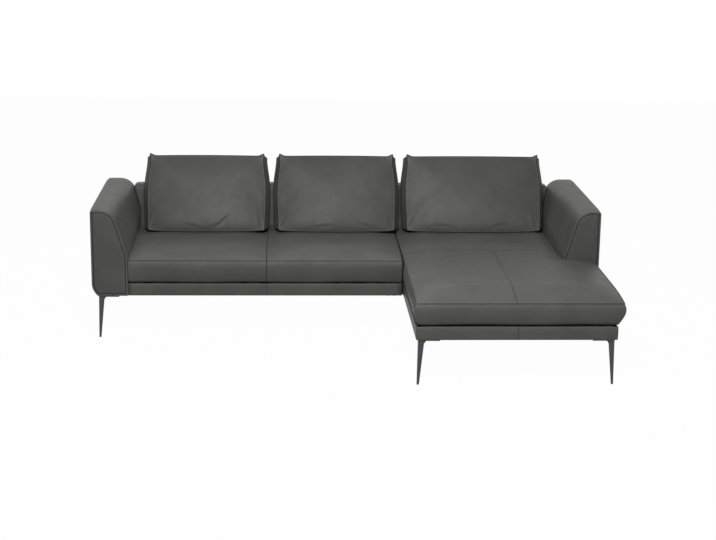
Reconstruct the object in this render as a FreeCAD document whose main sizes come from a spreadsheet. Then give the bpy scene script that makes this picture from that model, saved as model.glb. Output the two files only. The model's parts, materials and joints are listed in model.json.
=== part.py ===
import FreeCAD
import Part
import math
import os
import re
import Sketcher
from FreeCAD import Vector

# A corner sofa: a two-seater with the left arm and a chaise with the right arm, in millimetres.
# X runs along the back, +Y towards the back, +Z up. The origin is on the floor, at the middle
# of the sofa's box.

SIZES = {
    # the whole sofa
    "overall_width": 2650,
    "total_depth": 1668,
    "sofa_depth": 860,
    "floor_gap": 226,
    "base_height": 65,
    "leather": 2,
    "lining": 3,
    "snug": 0.3,
    # where the two modules meet
    "chaise_side": 298,
    "module_gap": 8,
    # arms
    "arm_width": 188,
    "arm_front_height": 680,
    "arm_rise": 10,
    "arm_slope": 0.304,
    "arm_foot_front": 440,
    "arm_foot_rear": 533,
    "arm_shoulder": 90,
    "arm_bevel": 54,
    "arm_edge": 14,
    "arm_tuck_width": 28,
    "arm_tuck_height": 39,
    "arm_tuck_radius": 80,
    "arm_panel": 18,
    "arm_panel_edge": 4,
    "arm_padding": 14,
    "arm_board": 18,
    "arm_rail": 40,
    # backrest
    "back_height": 667,
    "back_top_depth": 80,
    "back_seat_depth": 127,
    "back_corner": 22,
    "back_end_gap": 1,
    "back_padding": 16,
    "back_board": 18,
    "back_post": 60,
    # base frames
    "rail": 44,
    "board_inset": 10,
    "corner_block": 70,
    "web_width": 50,
    "seat_webs": 11,
    "chaise_front_webs": 6,
    "chaise_rear_webs": 5,
    "web_thick": 2,
    "cover_sheet": 1,
    "border_return": 30,
    "border_lip": 8,
    # seat cushions
    "seat_lip": 414,
    "seat_crown": 446,
    "seat_drop": 14,
    "seat_set_in": 10,
    "seat_split": -419,
    "seat_draw": 10,
    "seat_proud": 8,
    "seat_overhang": 0.3,
    "seat_corner": 10,
    "seat_bow": 6,
    # chaise cushion
    "chaise_set_in": 59,
    "chaise_overhang": 24,
    "chaise_lip": 404,
    "chaise_corner": 24,
    "chaise_drop": 14,
    "chaise_bow": 7,
    # back cushions
    "cushion_height": 403.7,
    "cushion_foot": 190,
    "cushion_lean": 180,
    "cushion_crown": 34,
    "cushion_belly": 20,
    "cushion_draw": 18,
    "left_cushion_start": -1099,
    "left_cushion_end": -406,
    "middle_cushion_start": -389,
    "middle_cushion_end": 308,
    "right_cushion_start": 321,
    "right_cushion_end": 1116,
    # legs
    "leg_top": 28,
    "leg_foot": 11,
    "leg_flare": 10,
    "leg_flare_height": 14,
    "leg_splay": 3,
    "leg_ridge": 9,
    "leg_edge": 3.5,
    "leg_inset_side": 12,
    "leg_inset_front": 16,
    "leg_inset_rear": 12,
    "leg_plate": 105,
    "leg_plate_width": 22,
    "leg_plate_thick": 8,
    "leg_plate_web": 34,
    "leg_plate_bevel": 8,
    "glide_height": 3,
    "glide_radius": 5,
    "screw_radius": 2.4,
    "screw_hole": 2.7,
    "screw_head": 4.6,
    "screw_head_height": 2.6,
    "screw_length": 26,
    "screw_edge": 12,
    # connectors between the modules
    "connector_width": 50,
    "connector_reach": 44,
    "connector_plate": 3,
    "connector_step": 5,
    "connector_inset": 30,
    # coach screws that hold the arms and backs to the base frames
    "fixing_radius": 4,
    "fixing_head": 8,
    "fixing_head_height": 5,
    "fixing_bite": 30,
    "fixing_inset": 140,
}

# Places that follow from the driving sizes
PLACES = {
    "rear": "total_depth / 2",
    "arm_front": "total_depth / 2 - sofa_depth",
    "panel_back": "arm_front + arm_panel",
    "side": "overall_width / 2",
    "inner": "overall_width / 2 - arm_width",
    "base_top": "floor_gap + base_height",
    "frame_low": "floor_gap + leather",
    "frame_high": "base_top - leather",
    "seat_low": "base_top + snug",
    "arm_rear_height": "arm_front_height + arm_rise",
    "seater_end": "chaise_side - module_gap",
    "chaise_end": "side - chaise_set_in",
    "chaise_front": "seat_proud - total_depth / 2",
    "seat_front": "arm_front + seat_set_in",
    "seat_back": "rear - back_seat_depth",
    "cushion_low": "seat_crown + snug",
    "left_start": "snug - inner",
    "connector_front": "seat_front + rail + connector_inset",
    "connector_rear": "seat_back - rail - connector_inset",
}

doc = FreeCAD.newDocument("corner_sofa")
sheet = doc.addObject("Spreadsheet::Sheet", "Sizes")
for row, (name, number) in enumerate(SIZES.items(), 1):
    sheet.set(f"A{row}", name)
    sheet.set(f"B{row}", str(number))
    sheet.setAlias(f"B{row}", name)
doc.recompute()

NODES = {}


def bind(expression):
    """The expression with every place and size name turned into sheet references."""
    text = str(expression)
    while True:
        opened = re.sub(r"\b[a-z_]+\b", lambda m: f"({PLACES[m[0]]})" if m[0] in PLACES else m[0], text)
        if opened == text:
            break
        text = opened
    return re.sub(r"\b[a-z_]+\b", lambda m: f"Sizes.{m[0]}" if m[0] in SIZES else m[0], text)


def value(expression):
    return float(sheet.evalExpression(bind(expression)))


def keep(obj, label):
    """Names a finished sub-part, which is written to parts/ at the end."""
    obj.Label = label
    NODES[label] = obj
    return obj


# Sketches


def new_sketch(body, label, role, offset):
    """A sketch on one of the body's own origin planes, moved along its normal by the offset.

    Without a body it stands free on the XZ or XY plane, at that place along Y or Z.
    """
    if body is None:
        sketch = doc.addObject("Sketcher::SketchObject", label)
        upright = role == "XZ_Plane"
        sketch.Placement.Rotation = FreeCAD.Rotation(Vector(1, 0, 0), 90 if upright else 0)
        sketch.setExpression(f".Placement.Base.{'y' if upright else 'z'}", bind(offset))
        return sketch
    plane = next(f for f in body.Origin.OriginFeatures if f.Role == role)
    sketch = body.newObject("Sketcher::SketchObject", label)
    sketch.AttachmentSupport = [(plane, "")]
    sketch.MapMode = "FlatFace"
    if role == "XZ_Plane":
        offset = f"-({offset})"
    sketch.setExpression("AttachmentOffset.Base.z", bind(offset))
    return sketch


def pin_point(sketch, shape, end, spot):
    """Ties a point to its two distances from the sketch's origin."""
    for kind, expression in zip(("DistanceX", "DistanceY"), spot):
        number = sketch.addConstraint(Sketcher.Constraint(kind, -1, 1, shape, end, value(expression)))
        sketch.setExpression(f"Constraints[{number}]", bind(expression))


def outline(body, label, role, offset, corners, closed=True):
    """A sketch through straight lines, with a rounded corner where a corner gives a radius."""
    sketch = new_sketch(body, label, role, offset)
    spots = [Vector(value(c[0]), value(c[1]), 0) for c in corners]
    count = len(corners)
    trims = []
    for i, corner in enumerate(corners):
        before = (spots[i - 1] - spots[i]).normalize()
        after = (spots[(i + 1) % count] - spots[i]).normalize()
        inside = before.getAngle(after)
        trims.append(value(corner[2]) / math.tan(inside / 2) if len(corner) > 2 else 0)
    lines = []
    for i in range(count if closed else count - 1):
        far = (i + 1) % count
        along = (spots[far] - spots[i]).normalize()
        start = spots[i] + along * trims[i]
        stop = spots[far] - along * trims[far]
        lines.append(sketch.addGeometry(Part.LineSegment(start, stop), False))
    for i, corner in enumerate(corners):
        into = lines[i - 1] if closed or i else None
        out = lines[i] if closed or i < count - 1 else None
        if into is None or out is None:
            pin_point(sketch, *((out, 1) if into is None else (into, 2)), corner[:2])
        elif len(corner) == 2:
            sketch.addConstraint(Sketcher.Constraint("Coincident", into, 2, out, 1))
            pin_point(sketch, out, 1, corner[:2])
        else:
            round_corner(sketch, into, out, spots[i], trims[i], corner)
    return sketch


def round_corner(sketch, into, out, spot, trim, corner):
    """An arc that is tangent to two lines, with the sharp corner held by a construction point."""
    first = sketch.Geometry[into].EndPoint
    last = sketch.Geometry[out].StartPoint
    radius = value(corner[2])
    middle = (first + last) * 0.5
    centre = spot + (middle - spot).normalize() * math.hypot(radius, trim)
    left_turn = (spot - first).cross(last - spot).z > 0
    ends = (first, last) if left_turn else (last, first)
    angles = [math.atan2(p.y - centre.y, p.x - centre.x) for p in ends]
    circle = Part.Circle(centre, Vector(0, 0, 1), radius)
    arc = sketch.addGeometry(Part.ArcOfCircle(circle, angles[0], angles[1]), False)
    arc_start, arc_end = (1, 2) if left_turn else (2, 1)
    sketch.addConstraint(Sketcher.Constraint("Tangent", into, 2, arc, arc_start))
    sketch.addConstraint(Sketcher.Constraint("Tangent", out, 1, arc, arc_end))
    number = sketch.addConstraint(Sketcher.Constraint("Radius", arc, radius))
    sketch.setExpression(f"Constraints[{number}]", bind(corner[2]))
    point = sketch.addGeometry(Part.Point(spot), True)
    sketch.addConstraint(Sketcher.Constraint("PointOnObject", point, 1, into))
    sketch.addConstraint(Sketcher.Constraint("PointOnObject", point, 1, out))
    pin_point(sketch, point, 1, corner[:2])


def bowed(body, label, role, offset, corners, rises):
    """A closed sketch whose sides are arcs that stand outward by their rise, or lines where it is None.

    Corners run counterclockwise, so outward is to the right of each side.
    """
    sketch = new_sketch(body, label, role, offset)
    spots = [Vector(value(x), value(y), 0) for x, y in corners]
    count = len(corners)
    sides = []
    for i, rise in enumerate(rises):
        start = spots[i]
        stop = spots[(i + 1) % count]
        if rise is None:
            sides.append((sketch.addGeometry(Part.LineSegment(start, stop), False), 1, 2))
            continue
        along = (stop - start).normalize()
        outward = Vector(along.y, -along.x, 0)
        crest = (start + stop) * 0.5 + outward * value(rise)
        arc = Part.Arc(start, crest, stop)
        side = sketch.addGeometry(arc, False)
        flipped = (sketch.Geometry[side].StartPoint - start).Length > 1e-6
        sides.append((side, 2, 1) if flipped else (side, 1, 2))
    for i, (side, start, stop) in enumerate(sides):
        last, _, last_stop = sides[i - 1]
        sketch.addConstraint(Sketcher.Constraint("Coincident", last, last_stop, side, start))
        pin_point(sketch, side, start, corners[i])
    for i, rise in enumerate(rises):
        if rise is None:
            continue
        (x0, y0), (x1, y1) = corners[i], corners[(i + 1) % count]
        chord = f"((({x1}) - ({x0})) ^ 2 + (({y1}) - ({y0})) ^ 2)"
        radius = f"({chord} / 4 + ({rise}) ^ 2) / (2 * ({rise}))"
        number = sketch.addConstraint(Sketcher.Constraint("Radius", sides[i][0], value(radius)))
        sketch.setExpression(f"Constraints[{number}]", bind(radius))
    return sketch


def pillow(body, label, height, box, radius, rises):
    """A level section of a cushion: four bowed sides between four rounded corners."""
    x0, x1, y0, y1 = (f"({edge})" for edge in box)
    corners = [
        (f"{x0} + {radius}", y0),
        (f"{x1} - {radius}", y0),
        (x1, f"{y0} + {radius}"),
        (x1, f"{y1} - {radius}"),
        (f"{x1} - {radius}", y1),
        (f"{x0} + {radius}", y1),
        (x0, f"{y1} - {radius}"),
        (x0, f"{y0} + {radius}"),
    ]
    turn = f"{radius} * 0.29"
    front, right, back, left = rises
    return bowed(body, label, "XY_Plane", height, corners, [front, turn, right, turn, back, turn, left, turn])


# Features


def new_body(label):
    return doc.addObject("PartDesign::Body", label)


def pad(body, profile, length):
    feature = body.newObject("PartDesign::Pad", body.Name + "_pad")
    feature.Profile = profile
    feature.setExpression("Length", bind(length))
    return feature


def block(label, x, y, z):
    """A box between pairs of expressions along X, Y and Z."""
    box = doc.addObject("Part::Box", label)
    for side, axis, (low, high) in zip(("Length", "Width", "Height"), "xyz", (x, y, z)):
        box.setExpression(side, bind(f"({high}) - ({low})"))
        box.setExpression(f".Placement.Base.{axis}", bind(low))
    return box


def cylinder(label, x, y, z, radius, height):
    rod = doc.addObject("Part::Cylinder", label)
    rod.setExpression("Radius", bind(radius))
    rod.setExpression("Height", bind(height))
    for axis, spot in zip("xyz", (x, y, z)):
        rod.setExpression(f".Placement.Base.{axis}", bind(spot))
    return rod


def prism(label, x, y, z, radius, height):
    """A six-sided bar, such as a screw's head."""
    bar = doc.addObject("Part::Prism", label)
    bar.Polygon = 6
    bar.setExpression("Circumradius", bind(radius))
    bar.setExpression("Height", bind(height))
    for axis, spot in zip("xyz", (x, y, z)):
        bar.setExpression(f".Placement.Base.{axis}", bind(spot))
    return bar


def slanted(label, profile, reach):
    """A closed sketch carried straight along the reach."""
    solid = doc.addObject("Part::Extrusion", label)
    solid.Base = profile
    solid.DirMode = "Custom"
    solid.Solid = True
    for axis, distance in zip("xyz", reach):
        solid.setExpression(f".Dir.{axis}", bind(distance))
    return solid


def wedge(label, low, high, height, turn=0):
    """A tapering bar along Z with plane sides, from its low to its high X and Y ranges."""
    bar = doc.addObject("Part::Wedge", label)
    (x0, x1), (y0, y1) = low
    (x2, x3), (y2, y3) = high
    sides = {
        "Xmin": x0, "Xmax": x1, "Zmin": f"-({y1})", "Zmax": f"-({y0})",
        "X2min": x2, "X2max": x3, "Z2min": f"-({y3})", "Z2max": f"-({y2})",
        "Ymin": height[0], "Ymax": height[1],
    }
    for side, distance in sides.items():
        setattr(bar, side, value(distance))
    for side, distance in sides.items():
        bar.setExpression(side, bind(distance))
    about_z = FreeCAD.Rotation(Vector(0, 0, 1), turn)
    bar.Placement.Rotation = about_z.multiply(FreeCAD.Rotation(Vector(1, 0, 0), 90))
    return bar


def cut(label, base, tool):
    result = doc.addObject("Part::Cut", label)
    result.Base = base
    result.Tool = tool
    return result


def fuse(label, shapes):
    result = doc.addObject("Part::MultiFuse", label)
    result.Shapes = shapes
    return result


def common(label, shapes):
    result = doc.addObject("Part::MultiCommon", label)
    result.Shapes = shapes
    return result


def group(label, shapes):
    """Separate solids of one kind that share a node."""
    result = doc.addObject("Part::Compound", label)
    result.Links = shapes
    return result


def placed(label, shape, x, y, turn):
    """A shape drawn at the origin, put in its place and turned about Z."""
    result = group(label, [shape])
    result.Placement = FreeCAD.Placement(
        Vector(value(x), value(y), 0),
        FreeCAD.Rotation(Vector(0, 0, 1), turn),
    )
    for axis, spot in (("x", x), ("y", y)):
        result.setExpression(f".Placement.Base.{axis}", bind(spot))
    return result


# Arms


def arm_lean(end):
    return f"((arm_{end}_height - arm_foot_{end}) * arm_slope)"


def arm_inner(hand, inset, plain=False):
    """The sloping inner side, the broad shoulder and the top, as they are at the arm's front.

    A plain shoulder is cut off straight, inside the line of the round one.
    """
    foot = f"{hand} * (inner + ({inset}) - arm_foot_front * arm_slope)"
    far = f"{hand} * (side + arm_width)"
    top = f"arm_front_height - ({inset})"
    across = f"inner + {arm_lean('front')} + ({inset})"
    if plain:
        low = (f"{hand} * ({across} - arm_bevel * arm_slope)", f"{top} - arm_bevel")
        return [(foot, "0"), low, (f"{hand} * ({across} + arm_bevel)", top), (far, top), (far, "0")]
    return [(foot, "0"), (f"{hand} * ({across})", top, f"arm_shoulder - ({inset})"), (far, top), (far, "0")]


def arm_outer(hand, inset):
    """The top, its small outer rounding, the upright outer side and the tuck at its foot."""
    outer = f"{hand} * (side - ({inset}))"
    near = f"{hand} * (inner - arm_width)"
    top = f"arm_front_height - ({inset})"
    tuck = "floor_gap + arm_tuck_height"
    low = f"{hand} * (side - ({inset}) - ({tuck}) * arm_tuck_width / arm_tuck_height)"
    return [
        (near, "0"),
        (low, "0"),
        (outer, tuck, f"arm_tuck_radius - ({inset})"),
        (outer, top, f"max(2; arm_edge - ({inset}))"),
        (near, top),
    ]


def arm_form(label, hand, inset, under, start, stop, plain=False):
    """The arm as a solid, drawn in from its finished faces by the inset."""
    length = f"({stop}) - ({start})"
    shift = f"{hand} * ({arm_lean('rear')} - {arm_lean('front')})"
    inner_profile = outline(None, label + "_inner_profile", "XZ_Plane", start, arm_inner(hand, inset, plain))
    inner_side = slanted(label + "_inner", inner_profile, (shift, length, "arm_rise"))
    outer_profile = outline(None, label + "_outer_profile", "XZ_Plane", start, arm_outer(hand, inset))
    outer_side = slanted(label + "_outer", outer_profile, ("0", length, "arm_rise"))
    wide = tuple(sorted((f"{hand} * (inner + ({inset}))", f"{hand} * (side + 1)"), key=value))
    limits = block(label + "_limits", wide, (start, stop), (under, "arm_rear_height + 1"))
    return common(label, [inner_side, outer_side, limits])


def make_arm(name, hand):
    foam = "lining + snug"
    room = "lining + 2 * snug + arm_padding"
    core = "lining + 3 * snug + arm_padding"
    outside = arm_form(f"arm_shape_{name}", hand, "0", "floor_gap", "panel_back", "rear")
    hollow = arm_form(f"arm_hollow_{name}", hand, "lining", "frame_low", "panel_back - 1", "rear - lining")
    keep(cut(f"arm_leather_{name}", outside, hollow), f"arm_cover_{name}")

    begin = "panel_back + snug"
    end = f"rear - ({core})"
    pad_outside = arm_form(f"arm_pad_shape_{name}", hand, foam, "frame_low + snug", begin, end)
    pad_room = arm_form(f"arm_pad_room_{name}", hand, room, "frame_low - 1", "panel_back - 1", f"{end} + 1")
    keep(cut(f"arm_pad_{name}", pad_outside, pad_room), f"arm_padding_{name}")

    shape = arm_form(f"arm_core_{name}", hand, core, "frame_low + snug", begin, end, plain=True)
    wide = tuple(sorted((f"{hand} * inner", f"{hand} * side"), key=value))
    tall = ("floor_gap", "arm_rear_height")
    panel = tuple(sorted((f"{hand} * inner", f"{hand} * (inner + arm_rail)"), key=value))
    middle = "(arm_front + rear) / 2"
    top_rail = ("arm_front_height - arm_padding - lining - arm_rail", "arm_rear_height")
    members = [
        block(f"arm_front_board_{name}", wide, (begin, f"{begin} + arm_board"), tall),
        block(
            f"arm_middle_board_{name}",
            wide,
            (f"{middle} - arm_board / 2", f"{middle} + arm_board / 2"),
            tall,
        ),
        block(f"arm_rear_board_{name}", wide, (f"{end} - arm_board", end), tall),
        block(f"arm_sole_{name}", wide, (begin, end), ("floor_gap", "frame_low + snug + arm_board")),
        block(f"arm_top_rail_{name}", wide, (begin, end), top_rail),
        block(f"arm_inner_panel_{name}", panel, (begin, end), ("floor_gap", "arm_foot_front")),
    ]
    keep(common(f"arm_carcass_{name}", [shape, fuse(f"arm_boards_{name}", members)]), f"arm_frame_{name}")

    front = new_body(f"arm_panel_{name}")
    foot = (f"{hand} * inner", "arm_foot_front")
    corners = [(f"{hand} * (side - arm_tuck_width)", "floor_gap"), (f"{hand} * inner", "floor_gap"), foot]
    corners += [arm_inner(hand, "0")[1], *reversed(arm_outer(hand, "0")[2:4])]
    profile = outline(front, f"arm_panel_outline_{name}", "XZ_Plane", "panel_back", corners)
    face = pad(front, profile, "arm_panel")
    doc.recompute()
    edge = front.newObject("PartDesign::Chamfer", f"arm_panel_edge_{name}")
    flat = value("arm_front")
    rim = [
        f"Edge{number}"
        for number, line in enumerate(face.Shape.Edges, 1)
        if max(abs(line.BoundBox.YMax - flat), abs(line.BoundBox.YMin - flat)) < 0.01
    ]
    edge.Base = (face, rim)
    edge.setExpression("Size", bind("arm_panel_edge"))
    keep(front, f"arm_front_panel_{name}")


# Backrests


def back_form(label, hand, end, inset, rear_inset, under):
    """The backrest of one module: a leaning front face, and an end that follows the arm's slope."""
    body = new_body(label + "_profile")
    top = f"back_height - ({inset})"
    back = f"rear - ({rear_inset})"
    corners = [
        (f"seat_back + ({inset})", under),
        (back, under),
        (back, top, "arm_edge"),
        (f"rear - back_top_depth + ({inset})", top, "back_corner"),
        (f"seat_back + ({inset})", "seat_crown"),
    ]
    pad(body, outline(body, label + "_side", "YZ_Plane", "-side", corners), "overall_width")
    front = new_body(label + "_front")
    lean = "(back_height - arm_foot_rear) * arm_slope"
    low = f"{hand} * (inner - snug - ({inset}))"
    high = f"{hand} * (inner + {lean} - back_end_gap - ({inset}))"
    near = f"({end}) + {hand} * ({inset})"
    corners = [(near, under), (low, under), (low, "arm_foot_rear"), (high, top, "back_corner"), (near, top)]
    pad(front, outline(front, label + "_outline", "XZ_Plane", "rear + 1", corners), "2 * back_seat_depth")
    return common(label, [body, front])


def make_back(name, hand, end):
    outside = back_form(f"back_shape_{name}", hand, end, "0", "0", "floor_gap")
    hollow = back_form(f"back_hollow_{name}", hand, end, "lining", "lining", "frame_low")
    keep(cut(f"back_leather_{name}", outside, hollow), f"back_cover_{name}")
    room = "lining + 2 * snug + back_padding"
    core = "lining + 3 * snug + back_padding"
    foam = back_form(f"back_pad_shape_{name}", hand, end, "lining + snug", "lining + snug", "base_top")
    pad_room = back_form(f"back_pad_room_{name}", hand, end, room, "-1", "base_top - 1")
    keep(cut(f"back_pad_{name}", foam, pad_room), f"back_padding_{name}")

    shape = back_form(f"back_core_{name}", hand, end, core, "lining + snug", "frame_low + snug")
    across = ("-side", "side")
    deep = ("seat_back", "rear")
    tall = ("floor_gap", "back_height")
    near = f"({end}) + {hand} * ({core})"
    far = f"{hand} * (inner - snug - ({core}))"
    middle = f"({near} + {far}) / 2"
    near_post = tuple(sorted((near, f"{near} + {hand} * back_post"), key=value))
    far_post = tuple(sorted((f"{far} - {hand} * back_post", f"{hand} * side"), key=value))
    members = [
        block(f"back_near_post_{name}", near_post, deep, tall),
        block(f"back_far_post_{name}", far_post, deep, tall),
        block(
            f"back_middle_post_{name}",
            (f"{middle} - back_post / 2", f"{middle} + back_post / 2"),
            deep,
            tall,
        ),
        block(
            f"back_top_rail_{name}",
            across,
            deep,
            ("back_height - back_padding - 2 * back_post", "back_height"),
        ),
        block(f"back_low_rail_{name}", across, deep, ("floor_gap", "base_top")),
        block(f"back_panel_{name}", across, ("rear - lining - snug - back_board", "rear"), tall),
    ]
    keep(common(f"back_carcass_{name}", [shape, fuse(f"back_boards_{name}", members)]), f"back_frame_{name}")


# Seat cushions


def seat_form(label, kind, box, skin):
    """A fixed seat cushion: its plan, its front and outer side drawn in at the foot, and a top
    that is crowned both ways."""
    x0, x1, y0, y1 = (f"({edge})" for edge in box)
    x0 = f"({x0} + {skin})"
    x1 = f"({x1} + {kind}_overhang - {skin})"
    y0 = f"({y0} + {skin})"
    y1 = f"({y1} - {skin})"
    low = f"(seat_low + {skin})"
    high = "seat_crown + 1"
    plan = new_body(label + "_plan")
    edges = (x0, x1, f"{y0} + {kind}_bow", y1)
    level = pillow(plan, label + "_level", low, edges, f"{kind}_corner", (f"{kind}_bow", None, None, None))
    pad(plan, level, f"{high} - {low}")

    # the front face and the slow rise of the top behind it
    along = new_body(label + "_along")
    crest = f"(seat_crown - {skin})"
    back = f"{y1} + 1"
    middle = f"({y0} + ({y1} - {y0}) * 0.45)"
    brim = f"({kind}_lip - {skin})"
    waist = (y0, f"({low} + {kind}_lip) / 2")
    corners = [(f"{y0} + seat_draw", low), (back, low), (back, crest), (middle, crest), (y0, brim), waist]
    rises = [None, None, None, f"({crest} - {brim}) * 0.24", None, None]
    pad(along, bowed(along, label + "_side", "YZ_Plane", f"{x0} - 1", corners, rises), f"{x1} - {x0} + 2")

    # the crown from side to side, and the outer side's overhang
    across = new_body(label + "_across")
    edge = f"({crest} - {kind}_drop)"
    corners = [
        (x0, low),
        (f"{x1} - {kind}_overhang", low),
        (f"{x1} - {kind}_overhang * 0.2", f"({low} + {kind}_lip) / 2"),
        (x1, f"{kind}_lip - 20"),
        (f"{x1} - {kind}_overhang * 0.3", edge),
        (x0, edge),
    ]
    rises = [None, None, None, None, f"{kind}_drop", None]
    pad(across, bowed(across, label + "_face", "XZ_Plane", f"{y1} + 1", corners, rises), f"{y1} - {y0} + 2")
    return common(label, [plan, along, across])


def make_seat(name, kind, box, notch=None):
    shapes = [
        seat_form(f"seat_{part}_{name}", kind, box, skin)
        for part, skin in (("shape", "0"), ("hollow", "lining"), ("filling", "(lining + snug)"))
    ]
    if notch:
        skins = ("0", "lining", "lining + snug")
        shapes = [
            cut(shape.Name + "_notched", shape, notch(shape.Name, skin)) for shape, skin in zip(shapes, skins)
        ]
    outside, hollow, filling = shapes
    keep(cut(f"seat_leather_{name}", outside, hollow), f"seat_cover_{name}")
    keep(filling, f"seat_foam_{name}")


def arm_notch(name, skin):
    """The room that the right arm takes out of the chaise cushion."""
    return block(
        f"{name}_arm_room",
        (f"inner - snug - ({skin})", "side + 100"),
        (f"arm_front - snug - ({skin})", "rear"),
        ("0", "back_height"),
    )


# Back cushions


def cushion_form(label, start, end, skin):
    """A loose back cushion: a leaning wedge, crowned in front both ways, drawn in at its ends."""
    low = f"cushion_low + {skin}"
    tall = f"(cushion_height - 2 * {skin})"
    high = f"{low} + {tall}"
    slant = "(back_seat_depth - back_top_depth) / (back_height - seat_crown)"
    rest = f"(seat_back - 4 * snug - {skin})"
    foot = f"(seat_back - cushion_foot + cushion_crown + {skin})"
    left = f"({start} + {skin})"
    right = f"({end} - {skin})"

    # seen from the end: upright crown and lean
    side = new_body(label + "_side")
    corners = [
        (f"{foot} - cushion_crown", low),
        (f"{rest} + {slant} * {skin}", low),
        (f"{rest} + {slant} * (cushion_height - {skin})", high),
        (f"{foot} - cushion_crown + cushion_lean", high),
    ]
    profile = bowed(
        side,
        label + "_end",
        "YZ_Plane",
        f"{left} - 1",
        corners,
        [None, None, None, "cushion_belly"],
    )
    pad(side, profile, f"{right} - {left} + 2")

    # seen from the front: bowed ends
    face = new_body(label + "_front")
    corners = [
        (f"{left} + cushion_draw / 2", low),
        (f"{right} - cushion_draw / 2", low),
        (f"{right} - cushion_draw", high),
        (f"{left} + cushion_draw", high),
    ]
    rises = [None, "cushion_draw * 0.7", None, "cushion_draw * 0.7"]
    profile = bowed(face, label + "_face", "XZ_Plane", "rear", corners, rises)
    pad(face, profile, "2 * back_seat_depth + cushion_foot")

    # seen along the lean: the front's crown from end to end
    depth = "2 * back_seat_depth + cushion_foot"
    corners = [(left, "0"), (right, "0"), (right, depth), (left, depth)]
    rises = ["cushion_crown + cushion_belly", None, None, None]
    plan = bowed(None, label + "_plan", "XY_Plane", low, corners, rises)
    lean = f"-atan(cushion_lean / {tall})"
    plan.Placement.Rotation = FreeCAD.Rotation(Vector(1, 0, 0), value(lean))
    plan.setExpression(".Placement.Rotation.Angle", bind(lean))
    plan.setExpression(".Placement.Base.y", bind(foot))
    crown = doc.addObject("Part::Extrusion", label + "_crown")
    crown.Base = plan
    crown.DirMode = "Normal"
    crown.Solid = True
    crown.setExpression("LengthFwd", bind("2 * cushion_height"))
    crown.setExpression("LengthRev", bind("cushion_height"))
    return common(label, [side, face, crown])


def make_cushion(name):
    start = f"{name}_cushion_start"
    end = f"{name}_cushion_end"
    outside = cushion_form(f"cushion_shape_{name}", start, end, "0")
    hollow = cushion_form(f"cushion_hollow_{name}", start, end, "lining")
    keep(cut(f"cushion_leather_{name}", outside, hollow), f"back_cushion_cover_{name}")
    keep(cushion_form(f"cushion_fill_{name}", start, end, "(lining + snug)"), f"back_cushion_filling_{name}")


# Base frames


def make_rails(prefix, rails):
    for name, x, y in rails:
        keep(block(f"{prefix}_{name}_wood", x, y, ("frame_low", "frame_high")), f"{prefix}_{name}")


def corner_blocks(label, corners):
    """Triangular blocks glued into the inside corners of the base frame."""
    wedges = []
    for number, (x, y, turn_x, turn_y) in enumerate(corners, 1):
        body = new_body(f"{label}_{number}")
        points = [
            (x, y),
            (f"({x}) + {turn_x} * corner_block", y),
            (x, f"({y}) + {turn_y} * corner_block"),
        ]
        pad(body, outline(body, f"{label}_plan_{number}", "XY_Plane", "frame_low + board_inset", points),
            "base_height - 2 * leather - 2 * board_inset")
        wedges.append(body)
    keep(group(label + "_set", wedges), label)


def strap_spans(low, high, count):
    """The low and high edges of straps spread evenly between two rails."""
    pitch = f"(({high}) - ({low})) / {count}"
    centres = [f"({low}) + {pitch} * {number + 0.5}" for number in range(count)]
    return [(f"{centre} - web_width / 2", f"{centre} + web_width / 2") for centre in centres]


def make_webbing(label, straps):
    strips = [
        block(f"{label}_{number}", x, y, ("frame_high", "frame_high + web_thick"))
        for number, (x, y) in enumerate(straps, 1)
    ]
    keep(group(label + "_set", strips), label)


def make_border(label, path_points, corner, turn):
    """The leather round the base: a C section swept along the base's outer faces."""
    body = new_body(label + "_strip")
    path = outline(body, label + "_path", "XY_Plane", "floor_gap", path_points, closed=False)
    x, y = corner
    section = [
        (x, "floor_gap"),
        (f"{x} + {turn} * border_return", "floor_gap"),
        (f"{x} + {turn} * border_return", "frame_low"),
        (f"{x} + {turn} * leather", "frame_low"),
        (f"{x} + {turn} * leather", "frame_high"),
        (f"{x} + {turn} * border_lip", "frame_high"),
        (f"{x} + {turn} * border_lip", "base_top"),
        (x, "base_top"),
    ]
    role = "XZ_Plane" if len(path_points) > 2 else "YZ_Plane"
    profile = outline(body, label + "_section", role, y, section)
    doc.recompute()
    sweep = body.newObject("PartDesign::AdditivePipe", label + "_sweep")
    sweep.Profile = profile
    sweep.Spine = (path, [f"Edge{i + 1}" for i in range(len(path.Shape.Edges))])
    sweep.Transition = "Right corner"
    keep(body, label)


def make_seater_base():
    west = "left_start"
    east = "seater_end"
    front = "seat_front + leather"
    back = "seat_back - snug"
    split = "seat_split"
    make_border("seat_border", [(west, "seat_front"), (east, "seat_front")], ("seat_front", west), 1)
    make_rails("seat", [
        ("front_rail", (west, east), (front, f"{front} + rail")),
        ("rear_rail", (west, east), (f"{back} - rail", back)),
        ("left_rail", (west, f"{west} + rail"), (f"{front} + rail", f"{back} - rail")),
        ("right_rail", (f"{east} - rail", east), (f"{front} + rail", f"{back} - rail")),
        (
            "middle_rail",
            (f"{split} - rail / 2", f"{split} + rail / 2"),
            (f"{front} + rail", f"{back} - rail"),
        ),
    ])
    corner_blocks("seat_corner_blocks", [
        (f"{west} + rail", f"{front} + rail", 1, 1),
        (f"{east} - rail", f"{front} + rail", -1, 1),
        (f"{west} + rail", f"{back} - rail", 1, -1),
        (f"{east} - rail", f"{back} - rail", -1, -1),
    ])
    strap_y = ("seat_front + border_lip + snug", f"{back} - 2")
    spans = strap_spans(f"{west} + rail", f"{east} - rail", SIZES["seat_webs"])
    make_webbing("seat_webbing", [(strap_x, strap_y) for strap_x in spans])
    sheet_y = ("seat_front + border_return + snug", back)
    keep(
        block("seat_sheet", (west, east), sheet_y, ("frame_low - cover_sheet", "frame_low")),
        "seat_dust_cover",
    )


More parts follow.
